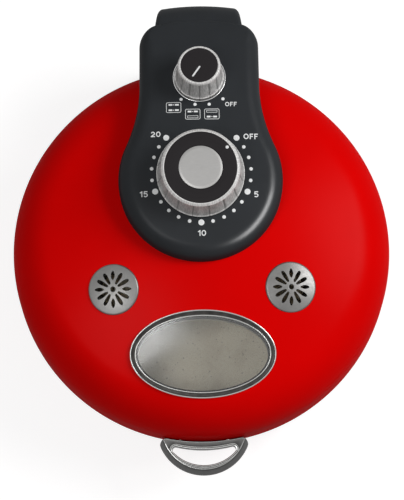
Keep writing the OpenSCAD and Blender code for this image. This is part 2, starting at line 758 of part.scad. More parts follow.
// Clockwork timer under the panel
module timer_unit() color("goldenrod") seat() on_panel(timer_y) difference() {
    union() {
        translate([-23, -23, -19.5]) cube([46, 46, 14.6]);
        translate([-30, -8, -4.9]) cube([60, 16, 1.4]);
        translate([0, 0, -5]) cylinder(r = 5, h = 5.4);
    }
    translate([0, 0, -15]) cylinder(r = 3 + fit_gap, h = 30);
    for (s = [-1, 1]) translate([s * 26.5, 0, -10]) cylinder(r = 1.7, h = 10);
}

// Rotary switch for the heat selector
module selector_switch() color("ivory") seat() on_panel(selector_y) difference() {
    union() {
        translate([-16, -16, -27]) cube([32, 32, 22.1]);
        translate([-24, -7, -4.9]) cube([48, 14, 1.4]);
        translate([0, 0, -5]) cylinder(r = 5, h = 5.2);
    }
    translate([0, 0, -20]) cylinder(r = 3 + fit_gap, h = 30);
    for (s = [-1, 1]) translate([s * 20.5, 0, -10]) cylinder(r = 1.7, h = 10);
}

module switch_screws() color("silver") seat() {
    for (s = [-1, 1]) on_panel(timer_y) translate([s * 26.5, 0, -4.9])
        rotate([180, 0, 0]) screw(3, 1.8, 1.4, 1.6);
    for (s = [-1, 1]) on_panel(selector_y) translate([s * 20.5, 0, -4.9])
        rotate([180, 0, 0]) screw(3, 1.8, 1.4, 1.6);
}

// Thin trim ring under the selector knob
module selector_ring() color("silver") seat() on_panel(selector_y) difference() {
    union() {
        translate([0, 0, 0.1]) cylinder(r = selector_r + 1.8, h = 0.9);
        translate([0, 0, 1]) cylinder(r1 = selector_r + 1.8, r2 = selector_r + 1.2, h = 0.4);
    }
    cylinder(r = 9, h = 10, center = true);
}

// Lid half of the hinge: a barrel between the ears with a foot on the lid's rear wall
module hinge_arm() color([0.2, 0.2, 0.21]) seat() difference() {
    union() {
        translate([-ear_gap + 0.3, hinge_y, hinge_z])
            rotate([0, 90, 0]) cylinder(r = arm_r, h = 2 * ear_gap - 0.6);
        translate([-arm_w, 160, hinge_z - 11]) cube([2 * arm_w, hinge_y - 160, 20]);
    }
    dome_solid(-skin_gap, 0);
    for (s = [-1, 1]) translate([s * (ear_gap - 10), hinge_y, hinge_z]) rotate([0, s * 90, 0])
        cylinder(r = pin_r + fit_gap, h = 12);
    for (s = [-1, 1]) translate([s * arm_screw_x, 150, arm_screw_z])
        rotate([-90, 0, 0]) cylinder(r = 1.9, h = 42);
}

module hinge_arm_screws() color("silver") seat()
    for (s = [-1, 1]) translate([s * arm_screw_x, lid_wall_y(arm_screw_x) - side_screw_back, arm_screw_z])
        rotate([90, 0, 0]) screw(4, 2.2, 1.8, 14);

// Bow handle: a crescent against the lid's wall with a crescent opening, and a front that slopes down
module lid_handle() color("darkgray") seat() difference() {
    translate([0, 0, handle_z]) linear_extrude(bow_h) difference() {
        crescent(bow_r - bow_front, bow_r, 0, lid_r - skin_gap, bow_corner);
        crescent(bow_band + grip_r - bow_front, grip_r, grip_back_r - grip_back, grip_back_r, grip_corner);
    }
    translate([0, bow_r - bow_front, handle_z]) rotate_extrude()
        polygon([[bow_r + 0.1, 0], [bow_r + 2, 0], [bow_r + 2, bow_h + 1], [bow_r - 4.9, bow_h + 1]]);
    for (s = [-1, 1]) translate([s * handle_screw_x, -184.2, handle_screw_z])
        rotate([-90, 0, 0]) cylinder(r = 1.9, h = 30);
}

module handle_screws() color("silver") seat()
    for (s = [-1, 1])
        translate([s * handle_screw_x, side_screw_back - lid_wall_y(handle_screw_x), handle_screw_z])
            rotate([-90, 0, 0]) screw(4, 2.2, 1.8, 7);

// ---------------------------------------------------------------- knobs

// Conical knob of base radius r and height h over a gap, hollow below, with n finger flutes, a rim
// that slopes in by bevel to top_r, and a recess of radius face_r in its top
module knob(r, h, gap, top_r, bevel, face_r, n) difference() {
    union() {
        difference() {
            union() {
                translate([0, 0, gap]) cylinder(r = r, h = 1.6);
                translate([0, 0, gap + 1.6]) cylinder(r1 = r - 0.4, r2 = top_r + bevel, h = h - 3.6 - gap);
                translate([0, 0, h - 2]) cylinder(r1 = top_r + bevel, r2 = top_r, h = 2);
            }
            translate([0, 0, gap - 0.5]) cylinder(r1 = r - 2.4, r2 = top_r - 2.2, h = h - 2.5 - gap);
        }
        translate([0, 0, gap + 2]) cylinder(r = 6.5, h = h - 4 - gap);
    }
    translate([0, 0, h - 1.4]) cylinder(r = face_r + 0.1, h = 4);
    translate([0, 0, gap]) cylinder(r = 3 + fit_gap, h = h - 4 - gap);
    slope = atan2(r - 0.4 - bevel - top_r, h - 3.6 - gap);
    for (i = [0:n - 1]) rotate([0, 0, 360 / n * (i + 0.5)])
        translate([r + 0.7, 0, gap + 1.6]) rotate([0, -slope, 0]) cylinder(r = 1.7, h = h - 4.6 - gap);
}

module timer_shaft() color("silver") seat() on_panel(timer_y)
    translate([0, 0, -14]) cylinder(r = 3, h = 14 + timer_h - 4.5);

module timer_knob() color("silver") seat() on_panel(timer_y)
    knob(timer_r, timer_h, 0.6, timer_face_r + 1, 1.9, timer_face_r, 16);

// Black disc in the timer's top, recessed for the bare metal disc
module timer_face() color([0.1, 0.1, 0.1]) seat()
    on_panel(timer_y) translate([0, 0, timer_h - 1.4]) difference() {
        cylinder(r = timer_face_r, h = 1.2);
        translate([0, 0, 0.6]) cylinder(r = timer_cap_r + 0.1, h = 2);
    }

// Bare metal disc in the middle of the timer
module timer_cap() color("gainsboro") seat() on_panel(timer_y) translate([0, 0, timer_h - 0.8]) {
    cylinder(r = timer_cap_r, h = 0.8);
    translate([0, 0, 0.8]) cylinder(r1 = timer_cap_r, r2 = timer_cap_r - 0.7, h = 0.5);
}

module selector_shaft() color("silver") seat() on_panel(selector_y)
    translate([0, 0, -18]) cylinder(r = 3, h = 18 + selector_h - 4.5);

module selector_knob() color("silver") seat() on_panel(selector_y)
    knob(selector_r, selector_h, 1.8, 18.8, 0.8, selector_face_r, 14);

module selector_face() color([0.1, 0.1, 0.1]) seat() on_panel(selector_y)
    translate([0, 0, selector_h - 1.4]) cylinder(r = selector_face_r, h = 1.6);

base_shell();
bottom_cover();
rubber_feet();
foot_screws();
base_liner();
lower_element();
lower_element_clips();
drive_motor();
motor_bracket();
motor_screws();
shaft_bush();
base_thermostat();
thermal_fuse();
terminal_block();
rear_housing();
rear_housing_screws();
cord_gland();
hinge_pins();
drive_shaft();
turntable();
stone_plate();
lid_shell();
lid_liner();
upper_element();
upper_element_clips();
lid_thermostat();
window_bezel();
bezel_nuts();
window_glass();
window_gasket();
window_tunnel();
vent_grille_left();
vent_grille_right();
vent_ducts();
control_housing();
housing_screws();
timer_unit();
selector_switch();
switch_screws();
selector_ring();
hinge_arm();
hinge_arm_screws();
lid_handle();
handle_screws();
timer_shaft();
timer_knob();
timer_face();
timer_cap();
selector_shaft();
selector_knob();
selector_face();
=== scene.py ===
"""Looks of a countertop pizza maker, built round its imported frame. Sizes are millimetres about the lid's axis
unless a name says otherwise; a piece's points are turned into metres of the frame when its mesh is made."""

import json
from math import acos, asin, atan2, cos, degrees, pi, radians, sin, sqrt

import bmesh
import bpy
import numpy as np
from bpy.props import FloatProperty, FloatVectorProperty, IntProperty, PointerProperty
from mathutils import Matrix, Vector


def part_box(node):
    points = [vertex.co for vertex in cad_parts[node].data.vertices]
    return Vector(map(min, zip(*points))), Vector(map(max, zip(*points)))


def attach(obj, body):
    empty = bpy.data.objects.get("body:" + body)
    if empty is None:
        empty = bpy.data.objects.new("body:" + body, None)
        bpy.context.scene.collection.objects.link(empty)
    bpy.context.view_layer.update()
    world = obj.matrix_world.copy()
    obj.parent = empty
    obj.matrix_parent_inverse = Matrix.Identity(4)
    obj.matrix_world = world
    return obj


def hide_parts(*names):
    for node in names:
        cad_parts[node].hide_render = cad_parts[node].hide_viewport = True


bl_info = {
    "name": "Pizza maker",
    "version": (1, 0, 0),
    "blender": (4, 5, 0),
    "location": "View3D > Sidebar > Pizza maker",
    "description": "Builds the surfaces and finishes of a countertop pizza maker",
    "category": "Add Mesh",
}

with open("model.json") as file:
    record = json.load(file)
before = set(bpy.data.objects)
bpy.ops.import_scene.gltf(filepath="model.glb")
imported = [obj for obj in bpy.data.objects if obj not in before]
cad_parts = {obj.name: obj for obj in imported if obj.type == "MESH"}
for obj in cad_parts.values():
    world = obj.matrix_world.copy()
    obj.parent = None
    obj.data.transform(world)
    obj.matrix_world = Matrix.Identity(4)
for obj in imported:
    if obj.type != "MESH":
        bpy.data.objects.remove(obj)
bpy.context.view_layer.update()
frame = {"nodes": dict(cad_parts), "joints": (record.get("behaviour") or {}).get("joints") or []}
MM = 0.001
# Points of a piece nearer than MERGE metres become one; edges shorter than SLIVER metres go
MERGE, SLIVER = 2e-6, 1e-7


# ---------------------------------------------------------------- sizes read from the frame

ORIGIN = np.array([0, sum(corner.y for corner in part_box("lid_shell")) / 2, 0])


def node_box(node):
    """Lowest and highest corner of a CAD node, in millimetres about the lid's axis."""
    return [(np.array(corner) - ORIGIN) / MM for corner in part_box(node)]


LID_LOW, LID_HIGH = node_box("lid_shell")
LID_R, RIM_Z = LID_HIGH[0], LID_LOW[2]
JOINTS = {j["name"]: j for j in frame["joints"]}


def number(name, default, text, **how):
    return FloatProperty(name=name, default=default, description=text, **how)


def length(name, default, text):
    """A size in the sidebar, given here in millimetres."""
    return number(name, default * MM, text, unit="LENGTH", precision=5)


def angle(name, default, text):
    """An angle in the sidebar, given here in degrees."""
    return number(name, radians(default), text, subtype="ANGLE")


def colour(name, default, text):
    return FloatVectorProperty(name=name, default=default, subtype="COLOR", min=0, max=1, description=text)


def count(name, default, text):
    return IntProperty(name=name, default=default, description=text)


class LidSettings(bpy.types.PropertyGroup):
    """Sizes of the dome and what is set into it"""

    wall: length("Wall height", 26, "Height of the lid's upright wall")
    lean: length("Wall lean", 1.2, "Inward lean of the upright wall")
    shoulder: length("Shoulder radius", 50, "Radius of the rounded shoulder")
    slope: angle("Crown slope", 16, "Slope of the crown where it meets the shoulder")
    skin: length("Skin", 0.8, "Thickness of the lid's steel")
    dish: length("Dish", 0.6, "Thickness of the bright inner dishes")
    air: length("Air gap", 12, "Depth of the gap between the skin and the inner dish")
    window_a: length("Window half width", 67, "Half of the oval frame's width")
    window_b: length("Window half depth", 39.7, "Half of the oval frame's depth")
    window_y: length("Window distance", 106, "Distance of the window in front of the lid's axis")
    vent_x: length("Vent offset", 81.3, "Sideways distance of each vent")
    vent_y: length("Vent distance", 45.6, "Distance of each vent in front of the lid's axis")
    vent_r: length("Vent radius", 23.6, "Radius of the vent's disc")
    red: colour("Enamel", (0.69, 0.0003, 0.0003), "Colour of the enamel on the lid and the pan")


class PanelSettings(bpy.types.PropertyGroup):
    """Sizes of the control housing and its print"""

    top: length("Top", 182, "Height of the panel's highest point")
    top_y: length("Top distance", 64, "Distance of that point behind the lid's axis")
    crown: length("Crown radius", 600, "Radius of the panel's gentle crown")
    disc_r: length("Front radius", 75.8, "Radius of the round front")
    disc_y: length("Front distance", 53.3, "Distance of the round front's centre behind the lid's axis")
    neck: length("Neck half width", 55.8, "Half of the width across the shoulders")
    web: length("Web radius", 140, "Radius of the concave sweep from the round front to the neck")
    rear: length("Rear edge radius", 206.5, "Distance of the panel's rear edge from the lid's axis")
    rounding: length("Rounding", 14, "Radius of the panel's long edge")
    corner: length("Corner radius", 20, "Radius in plan of the two rear corners")
    wall: length("Wall", 2.5, "Thickness of the moulding")
    black: colour("Moulding", (0.024, 0.0265, 0.0295), "Colour of the black moulding")
    print: colour("Print", (0.80, 0.81, 0.81), "Colour of the printed scale")


class KnobSettings(bpy.types.PropertyGroup):
    """Sizes of the two knobs"""

    timer_r: length("Timer radius", 40.3, "Radius of the timer knob's skirt")
    timer_h: length("Timer height", 27.5, "Height of the timer knob")
    timer_flutes: count("Timer flutes", 16, "Grooves in the timer knob's skirt")
    selector_r: length("Selector radius", 22.6, "Radius of the selector knob's skirt")
    selector_h: length("Selector height", 28.5, "Height of the selector knob")
    selector_flutes: count("Selector flutes", 14, "Grooves in the selector knob's skirt")
    silver: colour("Silver", (0.62, 0.61, 0.60), "Colour of the silvered skirts")
    face: colour("Face", (0.017, 0.015, 0.016), "Colour of the black faces")


class StageSettings(bpy.types.PropertyGroup):
    """Camera and lamps"""

    elevation: angle("Elevation", 79, "Height of the camera above the horizon")
    azimuth: angle("Azimuth", -0.8, "Turn of the camera round the object")
    distance: number("Distance", 1.8, "From the camera to the aim", unit="LENGTH")
    lens: number("Lens", 134.0, "Focal length in millimetres")
    world: number("World", 0.16, "Strength of the even light from all round")
    key: number("Key", 24.0, "Power of the large lamp on the right, in watts")
    sheen: number("Sheen", 150.0, "Power of the long lamp that only the moulding's gloss shows, in watts")
    fill: number("Fill", 6.0, "Power of the soft lamp on the left, in watts")


class Sizes:
    """A settings group whose lengths read as millimetres."""

    def __init__(self, group):
        self.group = group

    def __getattr__(self, name):
        value = getattr(self.group, name)
        return value / MM if self.group.bl_rna.properties[name].unit == "LENGTH" else value


def lid():
    return Sizes(bpy.context.scene.pizza_lid)


def panel():
    return Sizes(bpy.context.scene.pizza_panel)


def knobs():
    return Sizes(bpy.context.scene.pizza_knobs)


# ---------------------------------------------------------------- shapes

def around(steps):
    """Angles evenly spaced round a full turn."""
    return np.linspace(0, 2 * pi, steps, endpoint=False)


def polar(r, a, z=None, centre=(0, 0)):
    """Points at radius r and angle a about a plan centre, with their heights if z is given."""
    x, y = centre[0] + r * np.cos(a), centre[1] + r * np.sin(a)
    return np.stack([x, y] if z is None else [x, y, z + 0 * x], -1)


def arc(cx, cy, r, start, end, steps):
    """Points at radius r about (cx, cy) from the angle start to end, in degrees."""
    return polar(r, np.radians(np.linspace(start, end, steps + 1)), centre=(cx, cy))


def raised(plan, z):
    """Plan points with heights: one for all, one for each row, or one for each point."""
    return np.concatenate([plan, np.broadcast_to(z, plan.shape[:-1])[..., None]], -1)


def mirrored(half, flip, closed=False):
    """A half that ends on the mirror line, then its mirror image, which is half times flip run backwards."""
    return np.concatenate([half, half[-2:0 if closed else None:-1] * flip])


def unit(vectors):
    """Vectors divided by their lengths."""
    return vectors / np.linalg.norm(vectors, axis=-1, keepdims=True)


def rounded(corners, steps=5):
    """A polyline whose corners (x, y, radius) each become an arc tangent to both sides; radius 0 is sharp."""
    pts = [np.array(c[:2], float) for c in corners]
    path = [pts[0][None]]
    for before, here, after, (_, _, r) in zip(pts, pts[1:], pts[2:], corners[1:-1]):
        if r == 0:
            path.append(here[None])
            continue
        a, b = unit(before - here), unit(after - here)
        half = acos(np.clip(a @ b, -1, 1)) / 2
        reach = r / np.tan(half)
        centre = here + unit(a + b) * r / sin(half)
        first, last = here + a * reach - centre, here + b * reach - centre
        start = atan2(first[1], first[0])
        turn = (atan2(last[1], last[0]) - start + pi) % (2 * pi) - pi
        path.append(arc(*centre, r, degrees(start), degrees(start + turn), steps))
    path.append(pts[-1][None])
    return np.concatenate(path)


def surface(grid, wrap_rows=False, wrap_cols=True):
    """A grid of points (rows, cols, 3) as (points, quads), closed round each wrapped direction."""
    rows, cols = grid.shape[:2]
    i, j = np.meshgrid(np.arange(rows if wrap_rows else rows - 1),
                       np.arange(cols if wrap_cols else cols - 1), indexing="ij")
    i2, j2 = (i + 1) % rows, (j + 1) % cols
    faces = np.stack([i * cols + j, i2 * cols + j, i2 * cols + j2, i * cols + j2], -1)
    return grid.reshape(-1, 3), faces.reshape(-1, 4)


def revolve(profile, steps, centre=(0, 0), closed=False):
    """The profile (r, z) carried round the vertical through centre: (r cos a, r sin a, z)."""
    profile = np.asarray(profile, float)
    return surface(polar(profile[:, :1], around(steps), profile[:, 1:2], centre), wrap_rows=closed)


def join(*shapes):
    """Several (points, faces) as one."""
    start = np.cumsum([0] + [len(p) for p, _ in shapes])
    return (np.concatenate([p for p, _ in shapes]),
            np.concatenate([f + s for (_, f), s in zip(shapes, start)]))


def moved(shape, rotation, offset):
    """A shape whose points p become R p + offset."""
    return shape[0] @ np.asarray(rotation).T + np.asarray(offset, float), shape[1]


def tube(path, side, radius):
    """A round tube: path + radius (side cos a + (side x tangent) sin a), its flat ends closed at their
    middles."""
    steps = 20
    tangent = unit(np.gradient(path, axis=0))
    side = unit(side - (side * tangent).sum(1, keepdims=True) * tangent)
    other = np.cross(side, tangent)
    a = around(steps)[None, :, None]
    grid = path[:, None] + radius * (side[:, None] * np.cos(a) + other[:, None] * np.sin(a))
    first, last = (np.repeat(path[k][None, None], steps, 1) for k in (0, -1))
    return surface(np.concatenate([first, grid, last]))


def normals(path, closed=True):
    """Unit normals of a plan path: its tangent turned to the right, outwards where it runs anticlockwise."""
    tangent = np.roll(path, -1, 0) - np.roll(path, 1, 0) if closed else np.gradient(path, axis=0)
    return unit(np.stack([tangent[:, 1], -tangent[:, 0]], -1))


def resample(loop, steps):
    """Points evenly spaced along a closed loop."""
    loop = np.concatenate([loop, loop[:1]])
    s = np.concatenate([[0], np.cumsum(np.linalg.norm(np.diff(loop, axis=0), axis=1))])
    at = np.linspace(0, s[-1], steps, endpoint=False)
    return np.stack([np.interp(at, s, loop[:, k]) for k in range(2)], -1)


def puck(loop, low, high, edge, steps=5):
    """A closed slab of a star-shaped plan loop from low to high. Near each face its outline draws in by
    edge (1 - cos b) while its height is edge (1 - sin b) short of the face."""
    b = np.linspace(0, pi / 2, steps + 1)
    inset, short = edge * (1 - np.cos(b)), edge * (1 - np.sin(b))
    ring = loop - normals(loop) * np.concatenate([inset[::-1], inset])[:, None, None]
    height = np.concatenate([[low], (low + short)[::-1], high - short, [high]])
    middle = np.broadcast_to(loop.mean(0), (1, *loop.shape))
    return surface(raised(np.concatenate([middle, ring, middle]), height[:, None]))


def upright(shape):
    """Turns a slab drawn in (x, y) over z so that it is drawn in (y, z) over x."""
    return shape[0][:, [2, 0, 1]], shape[1]


def cut(shape, x, y, a, b):
    """Opens an oval hole of half widths a and b about (x, y): faces whose middle is inside go, and the rim's
    points move over the lid to the oval, where ((px - x) / a)^2 + ((py - y) / b)^2 = 1."""
    def share(p):
        return np.hypot((p[:, 0] - x) / a, (p[:, 1] - y) / b)

    points, faces = shape[0].copy(), shape[1]
    inside = share(points[faces].mean(1)) < 1
    kept = faces[~inside]
    rim = np.intersect1d(np.unique(kept), np.unique(faces[inside]))
    plan = [x, y] + (points[rim, :2] - [x, y]) / share(points[rim])[:, None]
    points[rim, 2] += dome_height(plan) - dome_height(points[rim, :2])
    points[rim, :2] = plan
    return points, kept


def add(name, data):
    """A new object of the scene."""
    obj = bpy.data.objects.new(name, data)
    bpy.context.scene.collection.objects.link(obj)
    return obj


def piece(name, shape, body, finish, node=None, sharp=32, wall=0.0):
    """One finished object: merges doubles, turns the faces outwards, shades smooth but for edges over sharp
    degrees, gives a sheet with a wall its thickness on the underside, and puts the piece on its body."""
    points, faces = shape
    mesh = bpy.data.meshes.new(name)
    mesh.from_pydata(points * MM + ORIGIN, [], faces.tolist())
    work = bmesh.new()
    work.from_mesh(mesh)
    bmesh.ops.remove_doubles(work, verts=work.verts, dist=MERGE)
    bmesh.ops.dissolve_degenerate(work, dist=SLIVER, edges=work.edges)
    bmesh.ops.delete(work, geom=[v for v in work.verts if not v.link_faces], context="VERTS")
    bmesh.ops.recalc_face_normals(work, faces=work.faces)
    if wall and sum(f.normal.z * f.calc_area() for f in work.faces) < 0:
        bmesh.ops.reverse_faces(work, faces=work.faces)
    work.to_mesh(mesh)
    work.free()
    mesh.shade_smooth()
    mesh.set_sharp_from_angle(angle=radians(sharp))
    mesh.materials.append(finish)
    obj = add(name, mesh)
    if wall:
        solid = obj.modifiers.new("Wall", "SOLIDIFY")
        solid.thickness, solid.offset = wall * MM, -1
    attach(obj, body)
    if node:
        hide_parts(node)
    return obj


# ---------------------------------------------------------------- the lid's and the panel's forms

def crown():
    """The crown's radius, its centre's height, and the plan radius where the shoulder's arc takes over."""
    s = lid()
    reach = LID_R - s.lean - s.shoulder
    radius = (reach + s.shoulder * sin(s.slope)) / sin(s.slope)
    return radius, RIM_Z + s.wall + (s.shoulder - radius) * cos(s.slope), reach


def dome_height(plan):
    """Height of the lid's face over plan points: the crown's sphere inside the radius where its slope is the
    crown slope, the shoulder's arc outside."""
    s = lid()
    radius, centre, reach = crown()
    r = np.hypot(plan[..., 0], plan[..., 1])
    sphere = centre + np.sqrt(np.maximum(radius**2 - r**2, 0))
    shoulder = RIM_Z + s.wall + np.sqrt(np.maximum(s.shoulder**2 - (r - reach) ** 2, 0))
    return np.where(r < radius * sin(s.slope), sphere, shoulder)


def dome_path(depth):
    """The lid's section (r, z) at a depth below its face, from the axis over the shoulder to the rim."""
    s = lid()
    radius, centre, reach = crown()
    slope = degrees(s.slope)
    top = arc(0, centre, radius - depth, 90, 90 - slope, 84)
    bend = arc(reach, RIM_Z + s.wall, s.shoulder - depth, 90 - slope, 0, 26)
    wall = np.linspace(bend[-1], (LID_R - depth, RIM_Z), 7)
    return np.concatenate([top, bend[1:], wall[1:]])


def holed(shape, window_inset, vent_inset, shrink=1.0):
    """A layer of the lid with the window's hole and the vents' holes, which lie nearer the axis by shrink."""
    s = lid()
    shape = cut(shape, 0, -s.window_y, s.window_a - window_inset, s.window_b - window_inset)
    r = s.vent_r - vent_inset
    for side in (-1, 1):
        shape = cut(shape, side * s.vent_x * shrink, -s.vent_y * shrink, r, r)
    return shape


def over_oval(a, b, height, steps):
    """Points (a cos t, b sin t) about the window's middle, at a height over the lid's face."""
    t = around(steps)
    plan = np.stack([a * np.cos(t), b * np.sin(t) - lid().window_y], -1)
    return raised(plan, dome_height(plan) + height)


def oval_ring(section, steps=240):
    """A section of (inset from the window's oval, height over the lid) carried round the oval."""
    s = lid()
    section = np.asarray(section, float)
    inset, height = section[:, :1], section[:, 1:2]
    return surface(over_oval(s.window_a - inset, s.window_b - inset, height, steps), wrap_rows=True)


def crown_frame(x, y):
    """Rotation and place of a part that stands upright on the crown over (x, y): the least turn that takes
    the vertical to the crown's normal (vx, vy, vz)."""
    radius, centre, _ = crown()
    up = np.array([x, y, sqrt(radius**2 - x * x - y * y)]) / radius
    tilt = np.array([[0, 0, up[0]], [0, 0, up[1]], [-up[0], -up[1], 0]])
    return np.eye(3) + tilt + tilt @ tilt / (1 + up[2]), up * radius + [0, 0, centre]


def panel_height(plan):
    """Height of the panel's crown, a sphere, over plan points."""
    s = panel()
    return s.top - s.crown + np.sqrt(s.crown**2 - plan[..., 0] ** 2 - (plan[..., 1] - s.top_y) ** 2)


def knob_lean(y):
    """Angle by which a knob at distance y behind the axis leans back on the panel's crown."""
    return asin((y - panel().top_y) / panel().crown)


def panel_frame(y):
    """Rotation and place of a knob that stands upright on the panel at distance y behind the axis."""
    lean = knob_lean(y)
    rotation = np.array([[1, 0, 0], [0, cos(lean), sin(lean)], [0, -sin(lean), cos(lean)]])
    return rotation, np.array([0, y, panel_height(np.array([0, y]))])


# ---------------------------------------------------------------- finishes

NOISE_SPAN = (0.3, 0.7)


class Wire:
    """An output socket of a material; arithmetic on it adds Math nodes."""

    def __init__(self, finish, socket):
        self.finish, self.socket = finish, socket

    def math(self, operation, *others):
        return self.finish.node("Math", dict(enumerate((self, *others))), operation=operation)

    def __add__(self, other):
        return self.math("ADD", other)

    def __sub__(self, other):
        return self.math("SUBTRACT", other)

    def __mul__(self, other):
        return self.math("MULTIPLY", other)

    def spread(self, low, high, to_low=0.0, to_high=1.0):
        """Carries low..high to to_low..to_high, held at both ends."""
        return self.finish.node("MapRange", {0: self, 1: low, 2: high, 3: to_low, 4: to_high}, clamp=True)

    def to(self, low, high):
        """Carries the span in which most of a noise lies to low..high."""
        return self.spread(*NOISE_SPAN, low, high)


class Nodes:
    """A node tree, written as expressions."""

    def __init__(self, tree):
        self.tree = tree

    def feed(self, socket, value):
        if isinstance(value, Wire):
            self.tree.links.new(value.socket, socket)
        elif hasattr(value, "__len__") and len(value) == 3 and len(socket.default_value) == 4:
            socket.default_value = (*value, 1)
        else:
            socket.default_value = value

    def node(self, kind, inputs=None, output=0, **settings):
        """Any shader node: its settings come first, then the values or links of its sockets."""
        made = self.tree.nodes.new("ShaderNode" + kind)
        for name, value in settings.items():
            setattr(made, name, value)
        for name, value in (inputs or {}).items():
            self.feed(made.inputs[name], value)
        return Wire(self, made.outputs[output])

    def seen(self):
        """1 for rays from the camera, from a mirror or through glass, else 0."""
        a, b, c = (self.node("LightPath", output=name)
                   for name in ("Is Camera Ray", "Is Glossy Ray", "Is Transmission Ray"))
        return (a + b + c).spread(0, 1)


class Finish(Nodes):
    """One material: a Principled shader, its constants, and the nodes that vary it."""

    def __init__(self, name, **constants):
        self.material = bpy.data.materials.new(name)
        self.material.use_nodes = True
        super().__init__(self.material.node_tree)
        self.shader = self.tree.nodes["Principled BSDF"]
        for socket, value in constants.items():
            self.set(socket.replace("_", " "), value)

    def set(self, socket, value):
        self.feed(self.shader.inputs[socket], value)

    def done(self, colour, roughness, relief, depth):
        """The material, with its colour, its roughness and a relief of depth millimetres where it runs from
        0 to 1."""
        self.set("Base Color", colour)
        self.set("Roughness", roughness)
        self.set("Normal", self.node("Bump", {"Height": relief, "Distance": depth * MM}))
        return self.material

    def place(self, scale=(1, 1, 1), centre=(0, 0, 0), lean=0.0):
        """Object coordinates in millimetres about centre, times scale, turned by lean round the x axis."""
        coords = self.node("TexCoord", output="Object")
        scale = np.array(scale, float)
        x, y, z = -(np.array(centre, float) + ORIGIN / MM) * scale
        move = (x, y * cos(lean) - z * sin(lean), y * sin(lean) + z * cos(lean))
        return self.node("Mapping", {
            "Vector": coords, "Scale": tuple(scale / MM), "Rotation": (lean, 0, 0), "Location": move})

    def noise(self, size, detail, rough=0.5, vector=None, contrast=None):
        """Noise with features of about size millimetres, or over a vector."""
        value = self.node("TexNoise", {
            "Vector": vector or self.place(), "Scale": 1 / size, "Detail": detail, "Roughness": rough})
        return value.spread(0.5 - contrast, 0.5 + contrast) if contrast else value

    def rings(self, centre, size, sway=0.15):
        """Noise that runs round a centre: over the distance from it and a little of the place itself."""
        flat = self.place((1, 1, 0), centre)
        distance = self.node("VectorMath", {0: flat}, "Value", operation="LENGTH")
        sideways = self.node("VectorMath", {0: flat, "Scale": sway * size / 10}, operation="SCALE")
        along = self.node("CombineXYZ", {0: distance})
        return self.noise(size, 3.0, 0.6, self.node("VectorMath", {0: along, 1: sideways}, operation="ADD"))

    def mix(self, factor, a, b):
        """Colour a where factor is 0 and b where it is 1."""
        return self.node("Mix", {0: factor, 6: a, 7: b}, output=2, data_type="RGBA")

    def tones(self, factor, tint, low, high):
        """A colour times low where factor is 0 and times high where it is 1."""
        return self.mix(factor, shade(tint, low), shade(tint, high))


def shade(c, k):
    """A colour made lighter or darker."""
    return tuple(min(1.0, x * k) for x in c)


def plain(name, low, high, fleck, gloss, relief, **constants):
    """A material of two colours. Its fleck is the arguments of a noise, its gloss those of a noise and then
    the ends of the roughness, its relief those of a noise and then the depth."""
    f = Finish(name, **constants)
    *gloss, smooth, matt = gloss
    *relief, depth = relief
    colour = f.mix(f.noise(*fleck), low, high)
    return f.done(colour, f.noise(*gloss).to(smooth, matt), f.noise(*relief), depth)


def enamel():
    """Red satin enamel: faint cloudiness, and the shallow ripple of sprayed and baked paint."""
    f = Finish("baked_enamel", Specular_IOR_Level=0.0, Coat_Weight=0.05, Coat_Roughness=0.3)
    red = f.tones(f.noise(60, 3.0), lid().red, 0.93, 1.07)
    ripple = f.noise(1.6, 2.0) * 0.7 + f.noise(0.35, 1.0) * 0.3
    return f.done(red, f.noise(9, 3.0).to(0.36, 0.44), ripple, 0.012)


def moulding(name="black_moulding", gloss=0.3, grain=0.006):
    """Black moulded plastic: a fine spark-eroded grain and a little unevenness in its gloss."""
    black = panel().black
    return plain(name, shade(black, 0.85), shade(black, 1.15), (35, 3.0),
                 (4, 3.0, gloss - 0.04, gloss + 0.04), (0.45, 2.0, 0.7, grain),
                 Specular_IOR_Level=0.0, Coat_Weight=0.15, Coat_Roughness=gloss)


def silvered(name, y, r, h, flutes):
    """Silver-coated plastic of a knob that stands at distance y: streaks run down its skirt, and painted shade
    darkens the grooves, where |frac(angle / pitch) - 1/2| pitch r is small."""
    f = Finish(name, Metallic=0.35, Specular_IOR_Level=0.3)
    silver = knobs().silver
    local = f.place(centre=panel_frame(y)[1], lean=knob_lean(y))
    x, depth, height = (f.node("SeparateXYZ", {0: local}, k) for k in range(3))
    angle = x.math("ARCTAN2", depth * -1.0)
    pitch = 2 * pi / flutes
    off = (((angle - pi / 2) * (1 / pitch)).math("FRACT") - 0.5).math("ABSOLUTE") * (pitch * r)
    groove = off.spread(0.25, 0.95, 1, 0) * height.spread(h - 4.5, h - 2.6, 1, 0)
    along = f.node("CombineXYZ", {0: angle * r, 1: height * 0.16})
    streak = f.noise(1.1, 4.0, 0.7, along, contrast=0.2)
    # Painted shade: the silver darkens towards 0.28 of its tone in the grooves, fading near the knob's top.
    base = f.mix(groove * 0.72, f.tones(streak, silver, 0.56, 1.3), shade(silver, 0.28))
    return f.done(base, streak.spread(0, 1, 0.3, 0.5), f.noise(0.5, 3.0, 0.7), 0.02)


def knob_black(centre):
    """Satin black insert with fine turned lines round its centre."""
    f = Finish("knob_black", Specular_IOR_Level=0.1)
    lines = f.rings(centre, 0.5)
    return f.done(f.tones(lines, knobs().face, 0.8, 1.3), lines.to(0.38, 0.5), lines, 0.012)


def brushed():
    """Metal brushed along x: noise stretched the way of the brush varies colour, gloss and relief."""
    f = Finish("cap_metal", Metallic=1.0)
    lines = f.noise(0.28, 3.0, 0.6, f.place((0.06, 1, 1)))
    metal = shade((1.0, 0.985, 0.965), 0.3)
    return f.done(f.tones(lines, metal, 0.86, 1.12), lines.to(0.36, 0.5), lines, 0.006)


